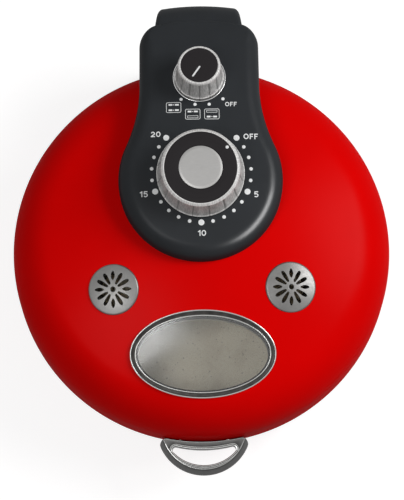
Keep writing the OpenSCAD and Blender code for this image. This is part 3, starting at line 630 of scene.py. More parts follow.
def cast(name, tone, roughness, size, depth, tint=(1, 1, 1)):
    """Cast or stamped metal with a fine even grain and broad faint clouding."""
    f = Finish(name, Metallic=1.0)
    cloud = f.noise(12, 3.0) * 0.6 + f.noise(size, 3.0, 0.7) * 0.4
    metal = f.tones(cloud.to(0, 1), shade(tint, tone), 0.84, 1.14)
    dull = f.noise(size * 3, 3.0).to(roughness - 0.05, roughness + 0.07)
    return f.done(metal, dull, f.noise(size, 3.0, 0.7), depth)


def highlight_shade_metal(name, low, high, bright):
    """Metal with painted light and shade: bright as a painted highlight where its point attribute is 1, and
    dark and clouded as painted shade elsewhere.
    """
    f = Finish(name, Metallic=1.0)
    polish = f.node("Attribute", output="Fac", attribute_name="polish")
    cloud = f.noise(6, 3.0, contrast=0.25)
    return f.done(f.mix(polish, f.mix(cloud, low, high), bright),
                  polish.spread(0, 1, 0.34, 0.16) + cloud * 0.06, f.noise(0.4, 3.0), 0.004)


def polish(obj, values):
    """Gives each point of a piece the share of painted highlight that its finish reads."""
    data = obj.data.attributes.new("polish", "FLOAT", "POINT").data
    data.foreach_set("value", np.asarray(values, np.float32))


def spun_steel():
    """Bright inner dishes: lines of the spinning tool round the axis, with a faint straw tint from heat."""
    f = Finish("spun_steel", Metallic=1.0)
    lines = f.rings((0, 0, 0), 0.9, 0.05)
    heat = f.noise(70, 3.0, contrast=0.18)
    steel = f.mix(lines, (0.74, 0.74, 0.74), (0.86, 0.86, 0.85))
    return f.done(f.mix(heat * 0.35, steel, (0.66, 0.55, 0.36)), lines.to(0.2, 0.34), lines, 0.01)


def heater_tube():
    """Oxidised sheath of a heating element: grey-green, mottled, nearly matt."""
    f = Finish("heater_tube", Metallic=0.7)
    mottle = f.noise(3, 5.0, 0.65, contrast=0.22)
    return f.done(f.mix(mottle, (0.045, 0.05, 0.045), (0.16, 0.165, 0.15)),
                  mottle.spread(0, 1, 0.42, 0.68), f.noise(0.7, 4.0, 0.7), 0.05)


def stone():
    """Pale refractory stone: sandy speckle, a pitted face, and brown marks baked into its top."""
    f = Finish("stone_ceramic", Specular_IOR_Level=0.25)
    speck = f.noise(0.8, 4.0, 0.75, contrast=0.16)
    dark = f.noise(2.2, 2.0).spread(0.68, 0.74)
    toast = f.noise(38, 4.0, 0.6).spread(0.52, 0.78) * 0.35
    base = f.mix(speck, (0.66, 0.55, 0.40), (0.88, 0.80, 0.66))
    base = f.mix(toast, f.mix(dark, base, (0.26, 0.19, 0.13)), (0.30, 0.16, 0.07))
    return f.done(base, speck.spread(0, 1, 0.78, 0.95), f.noise(1.1, 5.0, 0.75), 0.18)


def rubber():
    """Dull black rubber of the feet."""
    return plain("foot_rubber", (0.012, 0.012, 0.013), (0.03, 0.03, 0.03), (5, 4.0), (2, 3.0, 0.6, 0.8),
                 (0.5, 3.0, 0.04), Specular_IOR_Level=0.3)


def silicone():
    """Black silicone rubber of the seal, a little glossier than the feet."""
    return plain("seal_silicone", (0.016, 0.015, 0.015), (0.03, 0.028, 0.028), (3, 3.0),
                 (1.5, 3.0, 0.4, 0.6), (0.6, 2.0, 0.02), Specular_IOR_Level=0.35)


def phenolic(name, low, high):
    """Moulded body of a switch or thermostat: a slight fleck in a plain colour."""
    return plain(name, low, high, (1.2, 4.0, 0.7, None, 0.25), (2, 3.0, 0.4, 0.6), (0.5, 3.0, 0.02),
                 Specular_IOR_Level=0.4)


def printed():
    """Screen-printed ink: slightly uneven cover."""
    ink = panel().print
    return plain("scale_print", shade(ink, 0.93), shade(ink, 1.05), (0.8, 3.0), (1, 2.0, 0.45, 0.6),
                 (0.4, 2.0, 0.01), Specular_IOR_Level=0.3)


def pane():
    """Clear toughened glass: it lets light through, and mirrors by the Fresnel share under a thin film."""
    f = Finish("clear_glass")
    clear = f.node("BsdfTransparent", {"Color": (0.98, 0.99, 0.985)})
    film = f.noise(25, 3.0).to(0.14, 0.24)
    gloss = f.node("BsdfGlossy", {"Color": (1, 1, 1), "Roughness": film})
    share = f.node("Fresnel", {"IOR": 1.5})
    both = f.node("MixShader", {0: share, 1: clear, 2: gloss})
    f.tree.nodes.remove(f.shader)
    f.feed(f.tree.nodes["Material Output"].inputs["Surface"], both)
    return f.material


# ---------------------------------------------------------------- lid

class BuildLid(bpy.types.Operator):
    """Enamelled dome and its bright inner dish"""

    bl_idname = "pizza.lid"
    bl_label = "Lid"

    def execute(self, context):
        s = lid()
        hem = arc(LID_R - 1.0, RIM_Z + 1.0, 1.0, 0, -180, 6)
        skin = np.concatenate([dome_path(0)[:-1], hem, [[LID_R - 2.0, RIM_Z + 4.5]]])
        piece("lid_dome", holed(revolve(skin, 300), 4.4, 4), "lid", enamel(), "lid_shell",
              wall=s.skin)
        path = dome_path(s.air)[:-1]
        lip = rounded([(*path[-1], 0), (LID_R - s.air, RIM_Z + 0.8, 1.2), (LID_R - 2.4, RIM_Z + 0.8, 0)])
        dish = revolve(np.concatenate([path, lip[1:]]), 300)
        piece("lid_dish", holed(dish, 6.2, 7.4, 1 - s.air / crown()[0]), "lid", spun_steel(),
              "lid_liner", wall=s.dish)
        return {"FINISHED"}


class BuildWindow(bpy.types.Operator):
    """Oval frame, curved pane, seal and sheet tunnel"""

    bl_idname = "pizza.window"
    bl_label = "Window"

    def execute(self, context):
        s = lid()
        section = rounded([
            (0.0, 0.9, 0), (0.0, 2.4, 0.4), (0.9, 2.6, 0.4), (1.5, 1.3, 0.5), (4.3, 0.7, 0.5),
            (4.7, 1.6, 0.3), (5.6, 1.5, 0.35), (5.7, 0.2, 0.2), (0.6, 0.2, 0.2), (0.0, 0.9, 0)], 4)[:-1]
        # Painted highlight and shade: the frame's two lips are painted bright and its channel near black.
        metal = highlight_shade_metal("frame_metal", (0.024, 0.023, 0.022), (0.05, 0.048, 0.046), (0.42, 0.42, 0.41))
        steps = 320
        ring = piece("window_frame", oval_ring(section, steps), "lid", metal, "window_bezel",
                     sharp=50)
        polish(ring, np.repeat(np.interp(section[:, 0], [1.0, 1.5, 4.3, 4.6], [1, 0, 0, 1]), steps))

        edge, rings = 4.9, 22
        share = np.concatenate([np.linspace(0, 1, rings), np.linspace(1, 0, rings)])[:, None]
        height = np.repeat([-0.25, -3.9], rings)[:, None]
        glass = over_oval(share * (s.window_a - edge), share * (s.window_b - edge), height, 160)
        piece("window_pane", surface(glass), "lid", pane(), "window_glass")
        seal = rounded([(edge, -4.1, 0), (7.5, -4.1, 0.5), (7.5, -5.5, 0.5), (edge, -5.5, 0.3),
                        (edge, -4.1, 0)], 3)
        piece("window_seal", oval_ring(seal[:-1]), "lid", silicone(), "window_gasket")
        piece("window_duct", oval_ring([(6.5, -5.7), (6.5, -13.8), (7.3, -13.8), (7.3, -5.7)]), "lid",
              cast("tunnel_steel", 0.55, 0.3, 0.8, 0.01), "window_tunnel")
        return {"FINISHED"}


def petal(r, inner, outer, blunt):
    """Half width of a petal slot at radius r: a lens, or with blunt a club that widens outwards."""
    q = np.clip((r - inner) / (outer - inner), 0, 1)
    lens = 1.75 * np.sin(pi * q) ** 0.7
    club = np.sqrt(np.maximum(1 - (2 * q - 1) ** 8, 0)) * (1.15 + 0.6 * np.sin(pi * q**1.6))
    return np.where((r > inner) & (r < outer), club if blunt else lens, 0)


def vent_disc():
    """Domed disc: between each pair of slots the plate runs from the edge of one to the edge of the next,
    angle = slot + w / r + u (pitch - w / r - w' / r), at the height top - r^2 / curve. The rim is rolled down
    by fall, and the slots' edges are tucked down."""
    slots, roll, rim = 12, 1.5, lid().vent_r
    top, curve, fall, tuck = 3.4, 210, 1.6, 0.35
    pitch = 2 * pi / slots
    short, long = (8.45, 17.05, False), (5.2, 16.8, True)
    spans = [(2.3, 5.1, 5), (5.2, 6.4, 8), (6.7, 8.3, 6), (8.45, 9.8, 8), (10.2, 15.2, 12), (15.5, 17.05, 12),
             (17.6, rim - 1.8, 6)]
    r = np.concatenate([*(np.linspace(*span) for span in spans), arc(rim - roll, 0, roll, 90, 0, 6)[:, 0]])
    over = np.clip((r - (rim - roll)) / roll, 0, 1)
    crest = top - r**2 / curve - fall * (1 - np.sqrt(1 - over**2))
    u = np.array([0, 0.03, 0.1, 0.3, 0.5, 0.7, 0.9, 0.97, 1])
    shapes = []
    for i in range(slots):
        left, right = ((petal(r, *(long if k % 3 else short)) / r)[:, None] for k in (i, i + 1))
        angle = i * pitch + left + u * (pitch - left - right)
        fold = left * (u == 0) + right * (u == 1)
        z = crest[:, None] - tuck * (fold > 0)
        shapes.append(surface(polar(r[:, None], angle, z), wrap_cols=False))
    return join(*shapes)


class BuildVents(bpy.types.Operator):
    """Two round vents with petal slots, and the ducts under them"""

    bl_idname = "pizza.vents"
    bl_label = "Vents"

    def execute(self, context):
        s = lid()
        metal = cast("vent_metal", 0.155, 0.4, 0.5, 0.02, (1.0, 0.985, 0.96))
        # Near-black steel of the necks and ducts under the vents: painted shade, so that the slots read dark.
        shade_steel = cast("sooty_steel", 0.025, 0.55, 1.5, 0.03, (1.0, 0.92, 0.85))
        neck = revolve([(18.4, 0.6), (18.4, -7), (17.2, -7), (17.2, 1.0)], 96, closed=True)
        for side, name in ((-1, "left"), (1, "right")):
            seat = crown_frame(side * s.vent_x, -s.vent_y)
            piece(f"vent_disc_{name}", moved(vent_disc(), *seat), "lid", metal,
                  f"vent_grille_{name}", sharp=40, wall=0.9)
            piece(f"vent_neck_{name}", moved(neck, *seat), "lid", shade_steel)
        return {"FINISHED"}


# ---------------------------------------------------------------- control housing

# Heights of the feet of the housing and of its rear block, the rounding at the rear, and the spine's end
HOUSING_FOOT, BLOCK_FOOT, REAR_ROUNDING, SPINE_END = 99.5, 99.2, 2.2, 184


def panel_loop():
    """Right half of the panel's outline from the front tip to the middle of the rear edge, with its outward
    normals and the rounding of its edge. Every stretch is an arc or a line tangent to the next."""
    s = panel()
    web_x = s.neck + s.web
    web_y = s.disc_y + sqrt((s.disc_r + s.web) ** 2 - web_x**2)
    meet = degrees(atan2(web_y - s.disc_y, web_x))
    corner_x = s.neck - s.corner
    corner_y = sqrt((s.rear - s.corner) ** 2 - corner_x**2)
    turn = degrees(atan2(corner_y, corner_x))
    front = arc(0, s.disc_y, s.disc_r, -90, meet, 84)
    sweep = arc(web_x, web_y, s.web, 180 + meet, 180, 30)
    side = np.linspace((s.neck, web_y), (s.neck, corner_y), 17)
    corner = arc(corner_x, corner_y, s.corner, 0, turn, 18)
    edge = arc(0, 0, s.rear, turn, 90, 22)
    parts = [(front, (front - [0, s.disc_y]) / s.disc_r), (sweep, ([web_x, web_y] - sweep) / s.web),
             (side, np.tile([1.0, 0.0], (len(side), 1))),
             (corner, (corner - [corner_x, corner_y]) / s.corner), (edge, edge / s.rear)]
    plan, normal = (np.concatenate([p[k][bool(i):] for i, p in enumerate(parts)]) for k in range(2))
    at_rear = np.arange(len(plan)) > len(front) + len(sweep) + len(side) - 3
    q = np.clip(np.degrees(np.arctan2(normal[:, 1], normal[:, 0])) / turn, 0, 1) * at_rear
    return plan, normal, s.rounding + (REAR_ROUNDING - s.rounding) * q * q * (3 - 2 * q)


def panel_rows(plan, normal, radius, depth):
    """Rows of the panel's face, or of the layer at a depth under it, from the foot of the wall to the spine
    on x = 0. The rounding draws the outline in by R (1 - cos b) and lowers the crown by R (1 - sin b)."""
    bend = np.maximum(radius - depth, 0.3)
    b = np.linspace(0, pi / 2, 15)[:, None]
    ring = plan - normal * (depth + bend * (1 - np.cos(b)))[..., None]
    ring = raised(ring, panel_height(ring) - depth - bend * (1 - np.sin(b)))
    spine = np.stack([0 * plan[:, 0], np.clip(plan[:, 1], panel().disc_y, SPINE_END)], -1)
    u = np.linspace(0, 1, 25)[1:, None, None]
    inner = (1 - u) * ring[-1, :, :2] + u * spine
    side = plan - normal * depth
    on_lid = np.hypot(side[:, 0], side[:, 1]) < LID_R - 1.5
    foot = np.where(on_lid, np.maximum(dome_height(side) + 0.25, HOUSING_FOOT), HOUSING_FOOT)
    v = np.linspace(0, 1, 7)[:-1, None]
    wall = raised(np.broadcast_to(side, (len(v), *side.shape)), foot * (1 - v) + ring[0, :, 2] * v)
    return np.concatenate([wall, ring, raised(inner, panel_height(inner) - depth)])


def panel_shell():
    """The panel's moulding: from the spine over the face and down the wall, then back up its inner side."""
    half, normal, radius = panel_loop()
    form = mirrored(half, [-1, 1], True), mirrored(normal, [-1, 1], True), mirrored(radius, 1, True)
    return surface(np.concatenate([panel_rows(*form, 0)[::-1], panel_rows(*form, panel().wall)]))


def rear_block():
    """The block that comes down over the hinge: its section (r, z), drawn in by bend (1 - sin t) near each
    side, is carried round the lid's axis, as far as its half width at that r."""
    bend = 4.8
    section = resample(np.concatenate([
        [(190.0, 158.0)], arc(197.5, 131.5, 32, 84, -4, 30),
        rounded([(229.3, 129, 0), (226.0, BLOCK_FOOT, 4), (214, BLOCK_FOOT, 0)]),
        [(190.0, BLOCK_FOOT)]]), 110)
    inward = -normals(section[::-1])[::-1]
    t = np.linspace(0, pi / 2, 9)
    side = np.concatenate([[1.0], 1 - 0.12 * (1 - np.cos(t)), np.linspace(0.85, 0, 12)])
    draw = np.concatenate([[0], bend * (1 - np.sin(t)), np.zeros(12)])
    ring = section + inward * mirrored(draw, 1)[:, None, None]
    ring[0] = ring[-1] = section.mean(0)
    r, z = ring[..., 0], ring[..., 1]
    angle = mirrored(side, -1)[:, None] * np.interp(r, [205, 226], [41.5, 38.6]) / r
    return surface(np.stack([r * np.sin(angle), r * np.cos(angle), z], -1))


class BuildPanel(bpy.types.Operator):
    """Black control housing with its rear block"""

    bl_idname = "pizza.panel"
    bl_label = "Control housing"

    def execute(self, context):
        black = moulding()
        glossy = bpy.data.collections.new("sheen_receivers")
        for made in (piece("housing_shell", panel_shell(), "lid", black, "control_housing"),
                     piece("housing_block", rear_block(), "lid", black)):
            glossy.objects.link(made)
        bpy.data.objects["sheen_lamp"].light_linking.receiver_collection = glossy
        return {"FINISHED"}


# ---------------------------------------------------------------- print

TIMER_Y, SELECTOR_Y = 54.9, 147.2
SCALE_X, SCALE_Y = 0.7, 56.3
SCALE_WIDE, SCALE_LONG = 45.5, 46.2
SCALE_START, SCALE_STEP = 45.8, 13.5
INK, LET_IN = 0.09, -0.2


def dot(x, y, r):
    """A round spot of ink on the panel, thinner towards its edge, with its foot let into the panel."""
    share = np.array([0, 1.0, 1.0, 0.85, 0.5, 0.0])[:, None]
    lift = np.array([-0.3, -0.3, 0.02, 0.1, 0.12, 0.12])[:, None]
    plan = polar(r * share, around(28), centre=(x, y))
    return surface(raised(plan, panel_height(plan) + lift))


def stroke(path, width, closed=False):
    """A line of ink along plan points: the path moved by half the width to each side along its normals, in
    four rows whose outer two are let into the panel. An open line starts and ends square."""
    path = np.asarray(path, float)
    rows = path + normals(path, closed) * (np.array([-1, -1, 1, 1]) * width / 2)[:, None, None]
    lift = np.array([LET_IN, INK, INK, LET_IN])[:, None]
    if not closed:
        rows = np.concatenate([rows[:, :1], rows, rows[:, -1:]], 1)
        lift = np.repeat(lift, rows.shape[1], 1)
        lift[:, [0, -1]] = LET_IN
    return surface(raised(rows, panel_height(rows) + lift), wrap_rows=True, wrap_cols=closed)


def line(x0, y0, x1, y1, width):
    """A straight stroke between two plan points."""
    return stroke(np.linspace((x0, y0), (x1, y1), 4), width)


def frame_outline(cx, cy, w, h, r, width):
    """A rounded rectangle drawn as one closed stroke."""
    x, y = w / 2 - r, h / 2 - r
    loop = [arc(cx + i * x, cy + j * y, r, 90 * k, 90 * k + 90, 4)
            for k, (i, j) in enumerate(((1, 1), (-1, 1), (-1, -1), (1, -1)))]
    return stroke(np.concatenate(loop), width, closed=True)


def heat_icon(cx, cy, top, bottom):
    """Sign of one heat setting: a box with an upper and a lower bar, broken if that heater is on, else
    hollow."""
    shapes = [frame_outline(cx, cy, 13.4, 9.7, 1.3, 0.45)]
    for y, lit in ((cy + 2.6, top), (cy - 2.6, bottom)):
        if lit:
            shapes += [line(cx - 4.7, y, cx - 1.2, y, 1.6), line(cx + 1.2, y, cx + 4.7, y, 1.6),
                       line(cx - 0.4, y, cx + 0.4, y, 1.0)]
        else:
            shapes.append(frame_outline(cx, y, 9.6, 2.0, 0.35, 0.4))
    return shapes


def glyph(letter):
    """Width of a dial mark of height 1, and its strokes as plan points from its lower left corner."""
    high, low, mid = 0.91, 0.09, 0.5
    if letter in "0O":
        half = 0.31 if letter == "0" else 0.37
        a = around(36)
        return 2 * half + 0.18, [np.stack([half + 0.09 + half * np.cos(a), mid + 0.41 * np.sin(a)], -1)]
    if letter == "1":
        return 0.46, [[(0.37, 0), (0.37, 1)], [(0.36, 0.9), (0.04, 0.68)]]
    if letter == "2":
        bowl = arc(0.39, 0.64, 0.27, 170, -40, 18)
        return 0.78, [np.concatenate([bowl, [(0.12, low + 0.05)]]), [(0.02, low), (0.76, low)]]
    if letter == "5":
        bowl = arc(0.36, 0.35, 0.29, 128, -148, 20) * [1.05, 0.9]
        return 0.78, [[(0.14, high), (0.72, high)], [(0.2, 1), (0.13, 0.46)], bowl]
    return 0.66, [[(0.1, 0), (0.1, 1)], [(0.1, high), (0.64, high)], [(0.1, mid), (0.56, mid)]]


def lettering(text, x, y, height):
    """A generic dial mark, centred on (x, y), as strokes laid on the panel."""
    marks = [glyph(letter) for letter in text]
    gap = 0.16
    start = -(sum(width for width, _ in marks) + gap * (len(marks) - 1)) / 2
    shapes = []
    for letter, (width, strokes) in zip(text, marks):
        for path in strokes:
            points = (np.asarray(path, float) + [start, -0.5]) * height + [x, y]
            shapes.append(stroke(points, 0.175 * height, closed=letter in "0O"))
        start += width + gap
    return shapes


class BuildPrint(bpy.types.Operator):
    """Timer scale, its numbers, and the heat settings' signs"""

    bl_idname = "pizza.print"
    bl_label = "Printed scale"

    def execute(self, context):
        ink = printed()
        shapes = []
        for k in range(21):
            a = radians(SCALE_START + SCALE_STEP * k)
            x, y = SCALE_X + SCALE_WIDE * sin(a), SCALE_Y + SCALE_LONG * cos(a)
            shapes.append(dot(x, y, 2.75 if k % 5 == 0 else 1.65))
        for x, y in ((-17.0, 126.2), (-4.2, 121.1), (8.8, 121.1), (21.5, 126.2)):
            shapes.append(dot(x, y, 1.5))
        for x, y, top, bottom in ((-23.9, 118.4, True, True), (-6.4, 111.6, True, False),
                                  (11.1, 111.6, False, True)):
            shapes += heat_icon(x, y, top, bottom)
        piece("scale_marks", join(*shapes), "lid", ink)
        words = [("20", -40.7, 93.0, 5.2), ("OFF", 46.4, 89.9, 5.2), ("5", 50.4, 35.7, 5.3),
                 ("15", -52.0, 37.2, 5.3), ("10", 0.5, 0.5, 5.3), ("OFF", 28.8, 121.1, 4.2)]
        for k, (text, x, y, height) in enumerate(words):
            piece(f"scale_label_{k}", join(*lettering(text, x, y, height)), "lid", ink)
        return {"FINISHED"}


# ---------------------------------------------------------------- knobs

def knob_form(r, h, gap, top_r, bevel, face_r, flutes):
    """A hollow conical knob. Its section is carried round the shaft; on the skirt the radius is less by
    depth exp(-(arc / width)^3) near each flute, fading at the skirt's foot and top."""
    width, depth = 0.9, 0.9
    section = rounded([
        (0.0, h - 4.0, 0), (top_r - 3.0, h - 4.0, 2), (r - 2.6, gap + 1, 0.6), (r - 1.8, gap, 0.3),
        (r, gap, 0.4), (r, gap + 1.5, 0.5), (r - 0.7, gap + 2.0, 0.5), (top_r + bevel, h - 2.0, 0.9),
        (top_r - 0.1, h, 0.6), (face_r + 0.15, h, 0.3), (face_r + 0.1, h - 1.3, 0.2), (0.0, h - 1.3, 0)], 4)
    long = np.linalg.norm(np.diff(section, axis=0), axis=1)
    parts = [np.linspace(a, b, max(2, int(n / 1.2) + 1))[:-1] for a, b, n in zip(section, section[1:], long)]
    section = np.concatenate([*parts, section[-1:]])
    radius, z = section[:, :1], section[:, 1:2]
    a = around(flutes * 26)
    away = a % (2 * pi / flutes) - pi / flutes
    outside = radius > np.interp(z, [gap, h], [r, top_r]) - 1.6
    foot = np.clip((z - gap - 2.0) / 1.6, 0, 1)
    head = np.clip((h - 2.4 - z) / 2.2, 0, 1)
    groove = depth * np.exp(-np.abs(away * radius / width) ** 3)
    return surface(polar(radius - groove * np.sqrt(foot) * head * outside, a, z))


def build_knob(name, y, r, h, flutes, skirt, face, steps):
    """A knob's fluted skirt and its black insert, on the panel at distance y; gives the knob's seat."""
    seat = panel_frame(y)
    silver = silvered(f"{name}_silver", y, r - 2, h, flutes)
    piece(f"{name}_skirt", moved(skirt, *seat), name, silver, f"{name}_knob")
    insert = moved(revolve(face, steps), *seat)
    piece(f"{name}_insert", insert, name, knob_black((0, y, 0)), f"{name}_face")
    return seat


class BuildTimer(bpy.types.Operator):
    """Timer knob with its black face, bare metal cap and pointer dot"""

    bl_idname = "pizza.timer"
    bl_label = "Timer knob"

    def execute(self, context):
        s = knobs()
        r, h, flutes = s.timer_r, s.timer_h, s.timer_flutes
        skirt = knob_form(r, h, 0.6, 33.8, 1.9, 32.7, flutes)
        face = rounded([(0, h - 1.35, 0), (32.7, h - 1.35, 0), (32.7, h - 0.15, 0.5), (20.4, h - 0.25, 0.3),
                        (20.2, h - 0.9, 0.2), (0, h - 0.9, 0)], 4)
        seat = build_knob("timer", TIMER_Y, r, h, flutes, skirt, face, 160)
        cap = rounded([(0, h - 0.9, 0), (19.8, h - 0.9, 0.1), (19.8, h + 0.1, 0.45), (17.5, h + 0.42, 4),
                       (0, h + 0.48, 0)], 5)
        piece("timer_disc", moved(revolve(cap, 160), *seat), "timer", brushed(), "timer_cap")
        spot = rounded([(0, h - 0.3, 0), (1.5, h - 0.3, 0), (1.5, h + 0.02, 0.15), (0, h + 0.04, 0)], 4)
        a = radians(53)
        centre = (30.2 * sin(a), 30.2 * cos(a))
        piece("timer_pointer", moved(revolve(spot, 40, centre), *seat), "timer", printed())
        return {"FINISHED"}


class BuildSelector(bpy.types.Operator):
    """Heat selector: trim ring, fluted knob, black face and pointer bar"""

    bl_idname = "pizza.selector"
    bl_label = "Heat selector"

    def execute(self, context):
        s = knobs()
        r, h, flutes = s.selector_r, s.selector_h, s.selector_flutes
        skirt = knob_form(r, h, 1.8, 18.7, 0.9, 16.9, flutes)
        face = rounded([(0, h - 1.35, 0), (16.9, h - 1.35, 0), (16.9, h - 0.1, 0.5), (12, h + 0.12, 0),
                        (0, h + 0.18, 0)], 5)
        seat = build_knob("selector", SELECTOR_Y, r, h, flutes, skirt, face, 120)
        ring = rounded([(9.2, 0.15, 0), (r + 1.8, 0.15, 0.1), (r + 1.8, 1.4, 0.4), (r + 1.0, 1.45, 0.4),
                        (r + 0.7, 0.6, 0.2), (9.2, 0.6, 0)], 5)
        piece("selector_trim", moved(revolve(ring, 160, closed=True), *seat), "lid",
              cast("ring_metal", 0.62, 0.16, 0.4, 0.004), "selector_ring")
        start, end, half = np.array([0.3, -1.8]), np.array([-5.8, -10.7]), 0.8
        way = degrees(atan2(*(end - start)[::-1]))
        loop = np.concatenate([arc(*start, half, way + 90, way + 270, 8),
                               arc(*end, half, way - 90, way + 90, 8)])
        bar = puck(resample(loop, 80), h - 0.2, h + 0.3, 0.2, 3)
        piece("selector_pointer", moved(bar, *seat), "selector", printed())
        return {"FINISHED"}


# ---------------------------------------------------------------- handle and hinge

def crescent(y1, r1, y2, r2, corner):
    """A closed plan loop: an arc of radius r1 about (0, y1) in front, one of radius r2 about (0, y2) behind,
    and corners tangent to both, whose centres lie r1 - corner and r2 + corner from the arcs' centres."""
    near, far = r1 - corner, r2 + corner
    y = (near**2 - far**2 - y1**2 + y2**2) / (2 * (y2 - y1))
    x = sqrt(near**2 - (y - y1) ** 2)
    a, b = degrees(atan2(y - y1, x)), degrees(atan2(y - y2, x))
    parts = [arc(0, y1, r1, -180 - a, a, 150), arc(x, y, corner, a, b + 180, 24),
             arc(0, y2, r2, b, -180 - b, 80), arc(-x, y, corner, -b, 180 - a, 24)]
    return np.concatenate([part[:-1] for part in parts])


class BuildHandle(bpy.types.Operator):
    """Bow handle of cast metal"""

    bl_idname = "pizza.handle"
    bl_label = "Handle"

    def execute(self, context):
        (_, front, low), (_, _, high) = node_box("lid_handle")
        radius, band, slope = 45.2, 9.4, 4.9
        centre = np.array([0, front + radius])
        outer = crescent(centre[1], radius, 0, LID_R - 0.1, 6)
        hole = crescent(front + band + 40, 40, 113 - 187.6, 113, 3)
        normal, back = normals(outer), normals(hole)
        away = outer - centre
        reach = np.linalg.norm(away, axis=1, keepdims=True)

        def outside(z, inset=0.0):
            """The outer loop at height z: held inside the sloping front's circle there, and drawn in."""
            limit = radius - slope * (z - low) / (high - low)
            return centre + away * np.minimum(1, limit / reach) - normal * inset

        rows = [(outside(low, 1.0), low), (outside(low, 0.3), low + 0.3), (outside(low + 1.2), low + 1.2)]
        rows += [(outside(z), z) for z in np.linspace(low + 3, high - 1.2, 5)]
        rows += [(outside(high - 0.4, 0.15), high - 0.4)]
        rows += [(outside(high, inset), high - drop) for inset, drop in ((0.5, 0), (1.0, 0), (1.2, 0.8))]
        ridges = [(2.7, 0.8), (2.5, 0.1), (2.0, 0.1), (1.8, 0.8), (1.5, 0.8), (1.3, 0.1), (0.7, 0.1),
                  (0.3, 0.4), (0, 1.2)]
        rows += [(hole + back * step, high - drop) for step, drop in ridges]
        rows += [(hole + back * step, low + rise) for step, rise in ((0, 0.8), (0.3, 0.2), (1.0, 0))]
        # Painted highlight and shade: the handle's top edge and ridges are painted bright, its sloping front
        # near black.
        metal = highlight_shade_metal("handle_metal", (0.028, 0.028, 0.027), (0.05, 0.05, 0.049), (0.5, 0.5, 0.49))
        bow = piece("bow_handle", surface(np.stack([raised(plan, z) for plan, z in rows]), wrap_rows=True),
                    "lid", metal, "lid_handle", sharp=38)
        # Share of painted highlight in each row of the handle.
        crest = [0] * 9 + [0.5, 0.9, 0.2, 0, 1, 1, 0, 0, 1, 1, 0.3] + [0] * (len(rows) - 20)
        polish(bow, np.repeat(crest, len(outer)))
        return {"FINISHED"}


class BuildHinge(bpy.types.Operator):
    """Hinge arm on the lid, and the rear housing with its ears"""

    bl_idname = "pizza.hinge"
    bl_label = "Hinge and rear housing"

    def execute(self, context):
        _, y, z = np.array(JOINTS["lid_hinge"]["pos_m"]) / MM - ORIGIN / MM
        plan = rounded([(0, 130, 0), (56.9, 130, 0), (56.9, 206.9, 12), (-56.9, 206.9, 12), (-56.9, 130, 0),
                        (0, 130, 0)], 8)
        shapes = [puck(resample(plan, 300), 13.1, 51.9, 3.0)]
        ear = rounded([(y, 46, 0), (y + 7, 46, 0.5), (y + 12.9, z - 1, 8), (y + 12.4, z + 12.9, 12.2),
                       (y - 12.9, z + 12.9, 12.6), (y - 12.9, 46, 0.5), (y, 46, 0)], 12)
        for low, high in ((-54.9, -43.6), (43.6, 54.9)):
            shapes.append(upright(puck(resample(ear, 160), low, high, 1.4)))
        piece("rear_case", join(*shapes), "base", moulding("rear_moulding", 0.4, 0.03),
              "rear_housing")

        barrel = rounded([(0, -43.1, 0), (11.4, -43.1, 1.2), (11.4, 43.1, 1.2), (0, 43.1, 0)], 5)
        barrel = moved(upright(revolve(barrel, 96)), np.eye(3), (0, y, z))
        foot = rounded([(y - 5, 74, 0), (y + 4, 74, 3), (y + 4, 92, 3), (y - 12, 92.8, 6), (168, 92.8, 0),
                        (168, 74, 0), (y - 5, 74, 0)], 6)
        foot = upright(puck(resample(foot, 160), -37.8, 37.8, 2.0))
        piece("hinge_barrel", join(barrel, foot), "lid", cast("hinge_cast", 0.1, 0.42, 0.8, 0.03),
              "hinge_arm")
        return {"FINISHED"}


# ---------------------------------------------------------------- base and cooking space

class BuildBase(bpy.types.Operator):
    """Enamelled pan with a rolled rim, and the bright dish in it"""

    bl_idname = "pizza.base"
    bl_label = "Base"

    def execute(self, context):
        (_, _, bottom), (reach, _, top) = node_box("base_shell")
        bend, skin, sheet, hole = 38, lid().skin, lid().dish, 104.5
        x, z = reach - 1.5 - bend, bottom + bend
        outside = np.concatenate([[(hole, bottom)], arc(x, z, bend, -90, 0, 36)])
        bead = arc(reach - 2, top - 2, 2, -60, 200, 18)
        inside = np.concatenate([arc(x, z, bend - skin, 0, -90, 36), [(hole, bottom + skin)]])
        pan = revolve(np.concatenate([outside, bead, inside]), 300, closed=True)
        piece("pan", pan, "base", bpy.data.materials["baked_enamel"], "base_shell")
        (_, _, floor), (edge, _, lip) = node_box("base_liner")
        under = [(8.1, floor, 0), (40, floor, 3), (42, floor + 1, 3), (52, floor + 1, 3), (54, floor, 3),
                 (146.5, floor, 18), (163, floor + 10, 12), (168, lip - sheet, 1.5), (edge, lip - sheet, 0)]
        over = [(x - (0.6 * sheet if 150 < x < edge else 0), z + sheet, r) for x, z, r in under[::-1]]
        dish = revolve(np.concatenate([rounded(under, 8), rounded(over, 8)]), 240, closed=True)
        piece("pan_dish", dish, "base", bpy.data.materials["spun_steel"], "base_liner")
        return {"FINISHED"}


